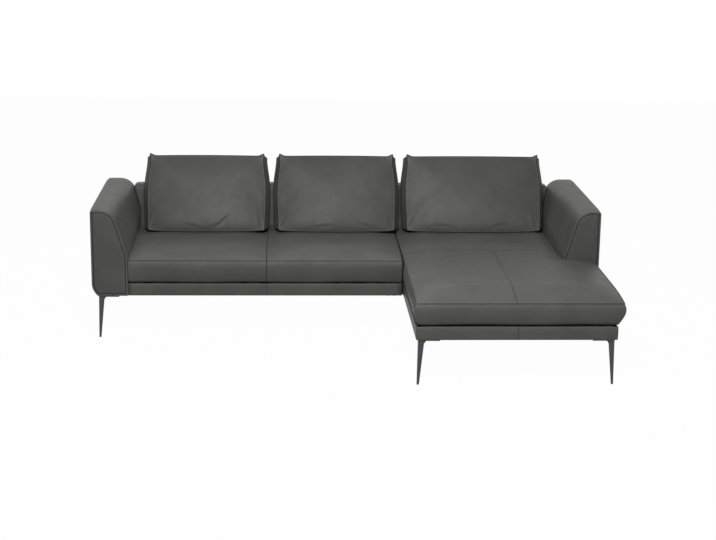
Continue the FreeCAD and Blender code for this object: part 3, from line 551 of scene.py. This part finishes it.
def stitch_nodes(tree, start, curve):
    """Short lengths of thread laid end to end along the line, with a gap between them."""
    grain = tree.nodes.new("GeometryNodeMeshCylinder")
    grain.inputs["Vertices"].default_value = 6
    grain.inputs["Side Segments"].default_value = 1
    tangent = tree.nodes.new("GeometryNodeInputTangent")
    turn = tree.nodes.new("FunctionNodeAlignRotationToVector")
    turn.axis = "Z"
    lay = tree.nodes.new("GeometryNodeInstanceOnPoints")
    realize = tree.nodes.new("GeometryNodeRealizeInstances")
    links = tree.links
    links.new(start.outputs["Radius"], grain.inputs["Radius"])
    links.new(start.outputs["Length"], grain.inputs["Depth"])
    links.new(tangent.outputs["Tangent"], turn.inputs["Vector"])
    links.new(curve, lay.inputs["Points"])
    links.new(grain.outputs["Mesh"], lay.inputs["Instance"])
    links.new(turn.outputs["Rotation"], lay.inputs["Rotation"])
    links.new(lay.outputs["Instances"], realize.inputs["Geometry"])
    return realize.outputs["Geometry"]


def follow(name, tree, lines, body, radius, pitch, length, material):
    """One piece from several lines, (points, closed or not), with its sizes in millimetres."""
    points, edges = [], []
    for line, closed in lines:
        first = len(points)
        points.extend((np.asarray(line) * MM).tolist())
        edges.extend((n, n + 1) for n in range(first, len(points) - 1))
        if closed:
            edges.append((len(points) - 1, first))
    mesh = bpy.data.meshes.new(name)
    mesh.from_pydata(points, edges, [])
    piece = bpy.data.objects.new(name, mesh)
    scene.collection.objects.link(piece)
    modifier = piece.modifiers.new("along", "NODES")
    modifier.node_group = tree
    sizes = {"Radius": radius * MM, "Pitch": pitch * MM, "Length": length * MM, "Finish": material}
    for item in tree.interface.items_tree:
        if item.in_out == "INPUT" and item.name in sizes:
            modifier[item.identifier] = sizes[item.name]
    apply_modifiers(piece)
    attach(piece, body)
    return piece


make_camera()
hide = leather("leather", (0.047, 0.048, 0.043), (0.063, 0.064, 0.058), 0.47)
panel_hide = leather("leather_panel", (0.047, 0.048, 0.043), (0.063, 0.064, 0.058), 0.46)
# near-black leather for the seam tubes: painted shade in the grooves where panels meet
seam_painted_shade = leather("leather_seam_painted_shade", (0.010, 0.010, 0.009), (0.018, 0.018, 0.016), 0.60)
# thread lighter than the leather: partly the stitching's own colour, partly painted highlight
# along the lit seam edges
thread_with_painted_highlight = thread("thread", (0.16, 0.162, 0.150))
seam_tree = path_tree("seam", seam_nodes)
stitch_tree = path_tree("stitches", stitch_nodes)


finishes = {
    "leather": hide,
    "timber": timber("timber"),
    "foam": foam("foam"),
    "webbing": cloth("webbing", (0.10, 0.09, 0.08), (0.20, 0.18, 0.15), 180.0),
    "dust_cover": cloth("dust_cover", (0.010, 0.010, 0.011), (0.022, 0.022, 0.024), 300.0),
    "leg_metal": coated_metal("leg_metal", (0.050, 0.051, 0.055), 0.36, 0.75),
    "glide": coated_metal("glide", (0.02, 0.02, 0.02), 0.6, 0.0),
    "hardware": coated_metal("hardware", (0.42, 0.42, 0.43), 0.35, 1.0),
}

# Arms


def arm_line(t, inset=0.0):
    """The arm's outline at a share of the way from front to rear: across, up."""
    top = ARM_TOP + 10 * t
    foot = ARM_FOOT_FRONT + (ARM_FOOT_REAR - ARM_FOOT_FRONT) * t
    lean = (top - foot) * ARM_LEAN
    return outline([
        (INNER, FLOOR_GAP, 5, 14),
        (INNER, foot, 40, 12),
        (INNER + lean, top, 90, 8),
        (SIDE, top, 14 + 4 * t, 22),
        (SIDE, 265, 80, 3),
        (SIDE - 28, FLOOR_GAP, 7, 10),
    ], arc=10, inset=inset)


def across_sofa(line, y, hand):
    """A line seen from the front, set at a depth; hand is -1 for the left arm."""
    return np.stack((hand * line[:, 0], np.full(len(line), y), line[:, 1]), axis=1)


def crown_weight(line):
    """1 on the broad top and sides of the arm, falling to 0 at its foot."""
    return ease((line[:, 1] - 250) / 140)


def make_arm(name, hand):
    """The cover and front panel of an arm; gives the lines of their seam and its stitches."""
    rings = []
    # the recess for the front panel, then the rounded front edge, the arm's length and its rear
    for share in (0.3, 0.7, 1.0):
        rings.append(across_sofa(shrunk(arm_line(0, 13), share), -18, hand))
    for y, inset in ((-20, 12), (-25.2, 10.5), (-26, 8.5)):
        rings.append(across_sofa(arm_line(0, inset), y, hand))
    for angle in quarter(6)[1:]:
        line = arm_line(0, 7 * (1 - math.sin(angle)))
        rings.append(across_sofa(line, -19 - 7 * math.cos(angle), hand))
    for y in graded([-12, 0, 800, 820], 22):
        t = (y + 8) / (REAR + 8)
        along = ease((y + 14) / 70) * ease((826 - y) / 60)
        line = arm_line(max(0, t))
        line = line + (line - drawn_in(line, 1.0)) * (3.0 * along * crown_weight(line))[:, None]
        rings.append(across_sofa(line, y, hand))
    for angle in quarter(6)[1:]:
        line = arm_line(1, 12 * (1 - math.cos(angle)))
        rings.append(across_sofa(line, 822 + 12 * math.sin(angle), hand))
    for share in (0.85, 0.5, 0.2):
        rings.append(across_sofa(shrunk(arm_line(1, 12), share), REAR, hand))
    points, faces = skin(rings)
    cover = make_piece(f"arm_leather_{name}", points, faces, hide)
    outwards(cover)
    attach(cover, "base")
    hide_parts(f"arm_cover_{name}", f"arm_padding_{name}")

    # the panel: its back in the recess, its turned edge, then its slightly full face
    rings = [across_sofa(shrunk(arm_line(0, 13.5), share), -17, hand) for share in (0.3, 0.7, 1.0)]
    for inset, y in ((13.2, -22), (13.6, -24.5), (15, -25.6), (19, -26.4)):
        rings.append(across_sofa(arm_line(0, inset), y, hand))
    for share, y in ((0.9, -27.6), (0.76, -28.8), (0.6, -29.6), (0.42, -30.2), (0.22, -30.5)):
        rings.append(across_sofa(shrunk(arm_line(0, 19), share), y, hand))
    points, faces = skin(rings)
    panel = make_piece(f"arm_panel_{name}", points, faces, panel_hide)
    outwards(panel)
    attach(panel, "base")
    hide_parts(f"arm_front_panel_{name}")
    seam = across_sofa(arm_line(0, 11.8), -25.0, hand)
    stitched = across_sofa(arm_line(0, 6.0), -26.3, hand)
    return seam, stitched


arm_seams, arm_stitches = [], []
for name, hand in (("left", -1), ("right", 1)):
    seam, stitched = make_arm(name, hand)
    arm_seams.append((seam, True))
    arm_stitches.append((stitched, True))
follow("arm_seams", seam_tree, arm_seams, "base", 1.8, 8, 0, seam_painted_shade)
follow("arm_stitches", stitch_tree, arm_stitches, "base", 0.75, 6.5, 5.0, thread_with_painted_highlight)


# Backrests


def back_line(inset=0.0):
    """The backrest's outline seen from the end: depth, up."""
    return outline([
        (SEAT_BACK, FLOOR_GAP, 5, 10),
        (SEAT_BACK, SEAT_TOP, 40, 14),
        (REAR - 80, BACK_TOP, 26, 5),
        (REAR, BACK_TOP, 14, 26),
        (REAR, FLOOR_GAP, 7, 8),
    ], arc=8, inset=inset)


def make_back(name, near, hand):
    """near is the end beside the other module; the far end follows the arm's inner side."""

    def ring(line, share, inset):
        up = line[:, 1]
        far = INNER - 1.5 + ARM_LEAN * np.clip(up - ARM_FOOT_REAR, 0, None)
        far -= 14 * ease((up - 640) / 30) ** 2
        start = near + hand * inset[0]
        stop = hand * (far - inset[1])
        x = start + (stop - start) * share
        return np.stack((x, line[:, 0], up), axis=1)

    rings = [ring(shrunk(back_line(9), share), 0, (0, 0)) for share in (0.3, 0.7)]
    for angle in quarter(5):
        line = back_line(9 * (1 - math.sin(angle)))
        rings.append(ring(line, 0, (9 * (1 - math.cos(angle)), 0)))
    for x in graded([0.01, 0.99], 0.02):
        line = back_line()
        puff = 3.0 * ease(x / 0.05) * ease((1 - x) / 0.05) * ease((line[:, 1] - 250) / 120)
        line = line + (line - drawn_in(line, 1.0)) * puff[:, None]
        line[:, 0] = np.minimum(line[:, 0], REAR)
        rings.append(ring(line, x, (9, 12)))
    for angle in quarter(5):
        line = back_line(12 * (1 - math.cos(angle)))
        rings.append(ring(line, 1, (0, 12 * (1 - math.sin(angle)))))
    rings += [ring(shrunk(back_line(12), share), 1, (0, 0)) for share in (0.7, 0.3)]
    points, faces = skin(rings)
    cover = make_piece(f"back_leather_{name}", points, faces, hide)
    outwards(cover)
    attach(cover, "base")
    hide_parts(f"back_cover_{name}", f"back_padding_{name}")


make_back("left", SEATER_END, -1)
make_back("right", CHAISE_SIDE, 1)


# Seat cushions


def make_seat(name, x0, x1, y0, lip, overhang=0.0, notch=None):
    """A fixed seat cushion on its base, from x0 to x1, with the lip of its front at y0.

    The chaise's goes round the front of the arm, at the notch, and is open at its sides before it.
    """
    low = BASE_TOP + 1.6
    stops_x, stops_y = [x0, x0 + 6, x0 + 16], [y0, y0 + 6, y0 + 16]
    if notch:
        stops_x += [INNER - 17, INNER - 7, INNER - 0.8]
        stops_y += [notch - 16, notch - 6, notch]
    stops_x += [x1 - 16, x1 - 6, x1]
    stops_y += [SEAT_BACK - 17, SEAT_BACK - 7, SEAT_BACK - 0.8]
    columns, rows = graded(stops_x, 17), graded(stops_y, 17)
    layers = np.array([0, 0.03, 0.08, 0.18, 0.32, 0.46, 0.6, 0.74, 0.87, 0.95, 1.0])

    def filled(i, j):
        return not notch or columns[i] < INNER - 1 or rows[j] < notch - 0.1

    grid = Block(columns, rows, layers, filled)
    x, y, share = grid.x, grid.y, grid.z
    from_left, from_right, from_front = x - x0, x1 - x, y - y0
    if notch:
        beside = np.hypot(np.clip(INNER - x, 0, None), np.clip(notch - y, 0, None))
        from_right = np.minimum(from_right, beside)
    fall = np.clip(1 - from_front / 320, 0, 1) ** 2.4
    edge = np.clip(1 - np.minimum(from_left, from_right) / 105, 0, 1) ** 2
    rear_drop = 4 * (1 - ease((SEAT_BACK - y) / 60))
    top = lip + (SEAT_CROWN - lip) * (1 - fall) * (1 - 0.52 * edge) - rear_drop
    z = low + share * (top - low)
    # the sides draw in at the foot, where the cover is fixed to the base
    draw = 9 * np.clip(1 - share / 0.16, 0, 1) ** 2 + 5 * (1 - ease(share / 0.7))
    near_front = 1 - ease(from_front / 60)
    y = y + near_front * draw
    belly = np.sin(np.pi * np.clip(share, 0, 1) ** 1.3)
    y = y + near_front * (6 * ease((share - 0.8) / 0.2) - 4 * belly)
    open_edge = near_front
    if notch:
        in_open = ease((-40 - grid.y) / 120)
        x = x + (1 - ease(from_left / 70)) * in_open * (draw - 16 * belly)
        swell = overhang * (ease(share / 0.8) - 1)
        open_side = (1 - ease(from_right / 90)) * ease((notch + 20 - grid.y) / 60)
        x = x + open_side * (swell + 10 * belly)
        open_edge = np.maximum(open_edge, (1 - ease(from_left / 60)) * in_open)
        before_arm = ease((notch - grid.y) / 60)
        open_edge = np.maximum(open_edge, (1 - ease((x1 - grid.x) / 60)) * before_arm)
    # the foot stands slightly off the base along the open edges, and waves a little
    lift = 7.5 if notch else 4.0
    z = z + (lift + 1.4 * np.sin(grid.x / 85 + 1)) * open_edge * (1 - ease(share / 0.3))
    cover = make_piece(f"seat_leather_{name}", np.stack((x, y, z), axis=1), grid.faces, hide)
    held = np.zeros(len(x))
    held[(share < 0.02) | (grid.y > SEAT_BACK - 60)] = 1.0
    at_edge = (from_front < 0.5) | (from_left < 0.5) | (from_right < 0.5)
    held[(share > 0.999) & at_edge] = 0.95
    inflate(cover, held, 0.8, 12, 6)
    # it stays under the loose cushions and clear of the arms, the backrest and the next seat
    spots = coordinates(cover) / MM
    spots[:, 2] = np.clip(spots[:, 2], low, 449.5)
    under_cushion = spots[:, 1] > 490
    spots[under_cushion, 2] = np.minimum(spots[under_cushion, 2], 445.7)
    left_limit, right_limit = x0 + 0.2, x1 - 0.2
    if notch:
        left_limit = x0 + 0.2 - 22 * ease((-30 - grid.y) / 120)
        right_limit = x1 + 16 * ease((-60 - grid.y) / 60)
    spots[:, 0] = np.clip(spots[:, 0], left_limit, right_limit)
    if notch:
        beside_arm = spots[:, 1] > notch - 0.5
        spots[beside_arm, 0] = np.minimum(spots[beside_arm, 0], INNER - 0.8)
        front_of_arm = grid.x > INNER - 0.5
        spots[front_of_arm, 1] = np.minimum(spots[front_of_arm, 1], notch - 0.6)
    spots[:, 1] = np.clip(spots[:, 1], y0 - 12, SEAT_BACK - 0.8)
    set_coordinates(cover, spots * MM)
    high, last = len(layers) - 1, len(columns) - 1
    seam = grid.run([(i, 0, high) for i in range(len(columns))])
    left_side = grid.run([(0, j, high) for j in range(len(rows))])
    open_rows = [j for j in range(len(rows)) if notch and rows[j] <= notch + 0.1]
    right_side = grid.run([(last, j, high) for j in open_rows])
    runs = (seam, left_side, right_side)
    sharpen(cover, [pair for run in runs for pair in zip(run, run[1:])], 0.55)
    subdivide(cover, 1)
    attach(cover, "base")
    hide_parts(f"seat_cover_{name}", f"seat_foam_{name}")
    return cover, grid, high, seam, right_side


def on_surface(piece, numbers, lift):
    """Points of a piece in millimetres, raised off it by the lift."""
    points = [piece.data.vertices[n] for n in numbers]
    return np.array([np.array(p.co) / MM + np.array(p.normal) * lift for p in points])


seams, rows_of_stitches = [], []
seat_specs = [
    ("left", -INNER + 0.3, SEAT_SPLIT - 0.2, -24.0, 414.0),
    ("middle", SEAT_SPLIT + 0.2, SEATER_END, -24.0, 414.0),
    ("chaise", CHAISE_SIDE, 1290.0, -834.0, 406.0, 24, -26.6),
]
for spec in seat_specs:
    cover, grid, high, seam, right_side = make_seat(*spec)
    line = on_surface(cover, seam, 0.3)
    if right_side:
        line = np.concatenate((line, on_surface(cover, right_side, 0.3)[1:]))
    seams.append((line, False))
    behind = grid.run([(i, 1, high) for i in range(1, len(grid.columns) - 1)])
    rows_of_stitches.append((on_surface(cover, behind, 0.35), False))
    if spec[0] == "chaise":
        middle = int(np.argmin(abs(grid.columns - CHAISE_SEAM)))
        cross = int(np.argmin(abs(grid.rows - CROSS_SEAM)))
        long_seam = grid.run([(middle, j, high) for j in range(cross + 1)])
        cells = [(i, cross, high) for i in range(len(grid.columns))]
        cross_seam = grid.run([cell for cell in cells if cell in grid.keys])
        seams.append((on_surface(cover, long_seam, -0.4), False))
        seams.append((on_surface(cover, cross_seam, -0.5), False))
follow("seat_seams", seam_tree, seams, "base", 1.8, 8, 0, seam_painted_shade)
follow("seat_stitches", stitch_tree, rows_of_stitches, "base", 0.7, 6.5, 5.0,
       thread_with_painted_highlight)


# Loose back cushions


def carry(piece, name, values):
    """Keeps a number for each point, so that it is still there after a subdivision."""
    piece.data.attributes.new(name, "FLOAT", "POINT").data.foreach_set("value", values)


def carried(piece, name):
    """Those numbers again, one for each point that there is now."""
    values = np.empty(len(piece.data.vertices))
    piece.data.attributes[name].data.foreach_get("value", values)
    return values


def press_folds(spots, facing, folds):
    """Creases in the front, given as (x, z, length, angle, depth, width)."""
    for fold_x, fold_z, length, angle, deep, width in folds:
        c, s = math.cos(math.radians(angle)), math.sin(math.radians(angle))
        dx, dz = spots[:, 0] - fold_x, spots[:, 2] - fold_z
        along, aside = dx * c + dz * s, -dx * s + dz * c + (dx * c + dz * s) ** 2 / 900
        mark = np.exp(-((along / length) ** 2) - (aside / width) ** 2)
        beside = np.exp(-((along / length) ** 2) - ((aside - 1.7 * width) / (1.2 * width)) ** 2)
        spots[:, 1] += facing * deep * (mark - 0.6 * beside)


def round_face(wide, high, depth, inset):
    """Grid points once round the face at this depth, so many cells in from its edge."""
    right, top = wide - inset, high - inset
    cells = [(i, inset) for i in range(inset, right)] + [(right, k) for k in range(inset, top)]
    cells += [(i, top) for i in range(right, inset, -1)]
    cells += [(inset, k) for k in range(top, inset, -1)]
    return [(i, depth, k) for i, k in cells]


def make_cushion(name, x0, x1, folds):
    """A leaning boxed cushion: crowned front, gusset all round, ears at its upper corners."""
    low, tall = 446.8, 392.0
    columns = graded([0, 5, 14, (x1 - x0) - 14, (x1 - x0) - 5, (x1 - x0)], 13) + x0
    rows = np.array([0, 0.07, 0.18, 0.32, 0.48, 0.64, 0.8, 0.92, 1.0])
    layers = graded([0, 5, 14, tall - 14, tall - 5, tall], 13) / tall
    grid = Block(columns, rows, layers)
    side = 2 * (grid.x - x0) / (x1 - x0) - 1
    depth, rise = grid.y, grid.z
    # seen from the front: widest at mid height, the gusset fuller than the seams either side of it
    half = (x1 - x0) / 2 - 17 * ease((rise - 0.5) / 0.5) ** 1.3 - 8 * (1 - rise) ** 3
    gusset = 23 * (1 - ease(depth / 0.38)) + 12 * ease((depth - 0.6) / 0.4)
    x = (x0 + x1) / 2 + side * (half - gusset)
    crown = 0.72 * (1 - np.abs(side) ** 6) + 0.28 * (1 - side**2)
    body = 0.8 * (1 - np.abs(2 * rise - 1) ** 6) + 0.2 * (1 - (2 * rise - 1) ** 2)
    front = 532 + 172 * rise - 20 * (1 - side**2) * (1 - rise) ** 2
    front -= 36 * (1 - 0.4 * rise) * crown * body
    rest = SEAT_BACK - 2.5 + BACK_LEAN * (low + tall * rise - SEAT_TOP)
    y = front + (rest - front) * depth
    z = low + tall * rise + 3 * (1 - side**2) * rise**4
    z -= 34 * depth * ease((rise - 0.45) / 0.55)
    z += 6 * np.abs(side) ** 10 * (1 - rise) ** 8
    z += 2 * (1 - ease(depth / 0.3)) * (1 - rise) ** 8
    cover = make_piece(f"cushion_leather_{name}", np.stack((x, y, z), axis=1), grid.faces, hide)
    wide, high, deep = len(columns) - 1, len(layers) - 1, len(rows) - 1
    seam = grid.run(round_face(wide, high, 0, 0))
    rear_seam = grid.run(round_face(wide, high, deep, 0))
    held = np.zeros(len(x))
    held[seam] = 0.96
    held[rear_seam] = 1.0
    held[rise < 0.001] = 1.0
    held[(depth > 0.99) & (rise < 0.6)] = 1.0
    inflate(cover, held, 0.9, 12, 8)
    spots = coordinates(cover) / MM
    limit = SEAT_BACK - 2.0 + BACK_LEAN * (spots[:, 2] - SEAT_TOP)
    limit += np.where(spots[:, 2] < 675, 0, 8)
    spots[:, 1] = np.minimum(spots[:, 1], limit)
    spots[:, 2] = np.clip(spots[:, 2], 446.4, 858)
    set_coordinates(cover, spots * MM)
    runs = [run + run[:1] for run in (seam, rear_seam)]
    sharpen(cover, [pair for run in runs for pair in zip(run, run[1:])], 0.7)
    carry(cover, "depth", depth)
    tips = [(grid.keys[(0, 0, high)], -1), (grid.keys[(wide, 0, high)], 1)]
    subdivide(cover, 1)
    spots = coordinates(cover) / MM
    depth = carried(cover, "depth")
    press_folds(spots, 1 - ease(depth / 0.05), folds)
    # ears at the upper corners, where the gusset's seams meet
    for number, way in tips:
        tip = spots[number].copy()
        reach = np.hypot((spots[:, 0] - tip[0]) / 14, (spots[:, 2] - tip[2]) / 18)
        pull = np.exp(-(reach**2)) * (1 - ease(depth / 0.3))
        spots[:, 0] += way * 6 * pull
        spots[:, 2] += 14 * pull
    set_coordinates(cover, spots * MM)
    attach(cover, f"cushion_{name}")
    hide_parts(f"back_cushion_cover_{name}", f"back_cushion_filling_{name}")
    sewn = [(on_surface(cover, seam, 0.2), True), (on_surface(cover, rear_seam, 0.0), True)]
    body_name = f"cushion_{name}"
    follow(f"cushion_seams_{name}", seam_tree, sewn, body_name, 1.6, 8, 0, seam_painted_shade)
    inner = grid.run(round_face(wide, high, 0, 1))
    line = [(on_surface(cover, inner, 0.35), True)]
    follow(f"cushion_stitches_{name}", stitch_tree, line, body_name, 0.7, 6.5, 5.0,
           thread_with_painted_highlight)


make_cushion("left", -1107, -405, [
    (-668, 506, 44, 38, 4, 9), (-700, 484, 40, 14, 2, 8), (-830, 480, 50, -14, 2, 9),
    (-1050, 496, 36, 62, 2.5, 8), (-460, 505, 40, 102, 2.5, 8), (-1030, 478, 40, 30, 2.5, 8),
])
make_cushion("middle", -389, 316, [
    (-345, 490, 40, 62, 2.5, 8), (-110, 480, 60, 4, 2, 9),
    (130, 482, 50, -20, 2, 9), (265, 496, 40, 110, 2.5, 8),
])
make_cushion("right", 325, 1130, [
    (366, 494, 40, 64, 2.5, 8), (570, 480, 60, -6, 2, 9),
    (860, 482, 55, 12, 2, 9), (1072, 500, 40, 108, 2.5, 8),
])


# The leather band round the base


def band_section():
    """From the lip on top, down the outer face and back under: outwards, up."""
    return [
        (-26, 291), (-3, 291), (-1.2, 290.4), (0, 288), (0.7, 270), (0.9, 255), (0.5, 240),
        (0, 230.5), (-0.6, 228), (-2.0, 226.4), (-4, 226), (-30, 226), (-30, 228), (-4, 228),
        (-2, 229.5), (-2, 288.5), (-3.4, 289.6), (-26, 289.6),
    ]


def make_band(name, path, node):
    """Sweeps the band's section along a path in plan, with mitred corners."""
    section = band_section()
    path = [np.array(p, float) for p in path]
    rings = []
    for n, spot in enumerate(path):
        before = spot - path[n - 1] if n else path[1] - spot
        after = path[n + 1] - spot if n + 1 < len(path) else before
        before, after = before / np.linalg.norm(before), after / np.linalg.norm(after)
        normal = np.array((before[1], -before[0])) + np.array((after[1], -after[0]))
        normal /= normal @ np.array((before[1], -before[0]))
        rings.append(np.array([(*(spot + normal * out), up) for out, up in section]))
    points, faces = skin(rings)
    band = make_piece(name, points, faces, hide)
    outwards(band)
    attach(band, "base")
    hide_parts(node)


def rounded_path(corners, radius, spacing):
    """An open path in plan with small round corners and extra points on its straights."""
    line = [np.array(corners[0], float)]
    for n in range(1, len(corners)):
        here = np.array(corners[n], float)
        last = line[-1]
        ahead = (here - last) / np.linalg.norm(here - last)
        stop = here - ahead * radius if n + 1 < len(corners) else here
        steps = max(1, round(np.linalg.norm(stop - last) / spacing))
        line.extend(last + (stop - last) * (s + 1) / steps for s in range(steps))
        if n + 1 < len(corners):
            following = np.array(corners[n + 1], float) - here
            following /= np.linalg.norm(following)
            for angle in quarter(5)[1:]:
                before, after = 1 - math.sin(angle), 1 - math.cos(angle)
                line.append(here - ahead * radius * before + following * radius * after)
    return line


seat_side = [(-INNER + 0.4, -16), (SEATER_END, -16)]
chaise_sides = [
    (CHAISE_SIDE, -26.3), (CHAISE_SIDE, BASE_FRONT), (BASE_END, BASE_FRONT), (BASE_END, -26.4),
]
make_band("seat_band", rounded_path(seat_side, 5, 30), "seat_border")
make_band("chaise_band", rounded_path(chaise_sides, 5.5, 30), "chaise_border")


def make_lining(name, x, y0):
    """Black cloth over the rail where the two halves of the base stand side by side."""
    line = rounded_path([(x, y0), (x, SEAT_BACK - 2)], 1, 40)
    section = [(0, 227), (0, 290), (0.8, 290.4), (0.8, 226.6)]
    rings = [np.array([(spot[0] + out, spot[1], up) for out, up in section]) for spot in line]
    points, faces = skin(rings)
    lining = make_piece(name, points, faces, finishes["dust_cover"], smooth=False)
    outwards(lining)
    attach(lining, "base")


heights = np.linspace(229, 289, 8)
band_seams = [
    (np.array([(SEAT_SPLIT, -16.9, z) for z in heights]), False),
    (np.array([(CHAISE_SEAM, BASE_FRONT - 0.9, z) for z in heights]), False),
]
follow("band_seams", seam_tree, band_seams, "base", 1.1, 8, 0, seam_painted_shade)


make_lining("lining_seat", SEATER_END + 0.3, -13)
make_lining("lining_chaise", CHAISE_SIDE - 1.3, -24)

# The backs' seams: one along below the top edge with its stitches, one upright in each module
back_seams, back_stitches = [], []
for near, hand in ((SEATER_END, -1), (CHAISE_SIDE, 1)):
    along = np.linspace(near + hand * 12, hand * 1172, 60)
    middle = (near + hand * INNER) / 2
    upright = np.array([(middle, REAR + 0.1, z) for z in np.linspace(232, 645, 20)])
    back_seams.append((np.array([(x, REAR + 0.1, 645) for x in along]), False))
    back_stitches.append((np.array([(x, REAR + 0.3, 639) for x in along]), False))
    back_seams.append((upright, False))
follow("back_seams", seam_tree, back_seams, "base", 1.5, 8, 0, seam_painted_shade)
follow("back_stitches", stitch_tree, back_stitches, "base", 0.5, 5.5, 4.0,
       thread_with_painted_highlight)


def staple_bounds(node, edge=14):
    """West, south, east and north of the staples in a black cloth, and their height under it."""
    low, high = ([c / MM for c in corner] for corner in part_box(node))
    return low[0] + edge, low[1] + edge, high[0] - edge, high[1] - edge, low[2] - 0.1


# Staples that hold the black cloth under both bases
west, south, east, north, height = staple_bounds("seat_dust_cover")
corners = [(west, south), (east, south), (east, north), (west, north), (west, south)]
seat_path = rounded_path(corners, 4, 30)
west, south, east, north = staple_bounds("chaise_dust_cover")[:4]
chaise_path = rounded_path([(west, north), (west, south), (east, south), (east, -60)], 4, 30)
staple_lines = [
    (np.array([(*spot, height) for spot in path]), False) for path in (seat_path, chaise_path)
]
follow("dust_cover_staples", stitch_tree, staple_lines, "base", 0.6, 45, 10,
       finishes["hardware"])

# The parts that keep their own shape

for part in frame["record"]["subparts"]:
    obj = nodes[part["node"]]
    obj.data.materials.clear()
    obj.data.materials.append(finishes[part["material_slot"]])


# Studio: a white floor and surroundings, soft light from the front and above


def seen_directly(tree):
    """1 for the camera, and in reflections and through glass; 0 for light that falls on things."""
    rays = tree.nodes.new("ShaderNodeLightPath")
    seen = rays.outputs["Is Camera Ray"]
    for kind in ("Is Glossy Ray", "Is Transmission Ray"):
        either = tree.nodes.new("ShaderNodeMath")
        either.operation = "MAXIMUM"
        tree.links.new(seen, either.inputs[0])
        tree.links.new(rays.outputs[kind], either.inputs[1])
        seen = either.outputs["Value"]
    return seen


def make_floor():
    """Pale paint under a white that the camera sees; the paint keeps the sofa's shadow."""
    material = bpy.data.materials.new("floor")
    material.use_nodes = True
    tree = material.node_tree
    tree.nodes.clear()
    paint = tree.nodes.new("ShaderNodeBsdfDiffuse")
    paint.inputs["Color"].default_value = (0.32, 0.32, 0.32, 1)
    glow = tree.nodes.new("ShaderNodeEmission")
    part = tree.nodes.new("ShaderNodeMath")
    part.operation = "MULTIPLY"
    part.inputs[1].default_value = 0.98
    mix = tree.nodes.new("ShaderNodeMixShader")
    end = tree.nodes.new("ShaderNodeOutputMaterial")
    links = tree.links
    links.new(seen_directly(tree), part.inputs[0])
    links.new(part.outputs["Value"], mix.inputs["Fac"])
    links.new(paint.outputs["BSDF"], mix.inputs[1])
    links.new(glow.outputs["Emission"], mix.inputs[2])
    links.new(mix.outputs["Shader"], end.inputs["Surface"])
    corners = [(-9000, -9000, 0), (9000, -9000, 0), (9000, 9000, 0), (-9000, 9000, 0)]
    make_piece("floor", corners, [[0, 1, 2, 3]], material, smooth=False)


def make_world():
    """An even pale room that looks white."""
    world = bpy.data.worlds.new("studio")
    scene.world = world
    world.use_nodes = True
    tree = world.node_tree
    tree.nodes.clear()
    room = tree.nodes.new("ShaderNodeBackground")
    room.inputs["Color"].default_value = (1, 1, 1, 1)
    room.inputs["Strength"].default_value = 0.08
    white = tree.nodes.new("ShaderNodeBackground")
    white.inputs["Color"].default_value = (1, 1, 1, 1)
    mix = tree.nodes.new("ShaderNodeMixShader")
    end = tree.nodes.new("ShaderNodeOutputWorld")
    links = tree.links
    links.new(seen_directly(tree), mix.inputs["Fac"])
    links.new(room.outputs["Background"], mix.inputs[1])
    links.new(white.outputs["Background"], mix.inputs[2])
    links.new(mix.outputs["Shader"], end.inputs["Surface"])


def make_lamps():
    """Two soft lamps aimed at the seats: name, place in metres, size and power."""
    lamps = [
        ("key", (-0.4, -4.8, 4.2), 2.0, 470),
        ("rear", (-0.3, 3.0, 4.2), 2.4, 60),
    ]
    for name, place, size, power in lamps:
        data = bpy.data.lights.new(name, "AREA")
        data.size = size
        data.energy = power
        lamp = bpy.data.objects.new(name, data)
        lamp.location = place
        aim = Vector((0, 0, 0.45)) - Vector(place)
        lamp.rotation_euler = aim.to_track_quat("-Z", "Y").to_euler()
        scene.collection.objects.link(lamp)


make_floor()
make_world()
make_lamps()
scene.view_settings.view_transform = "Standard"
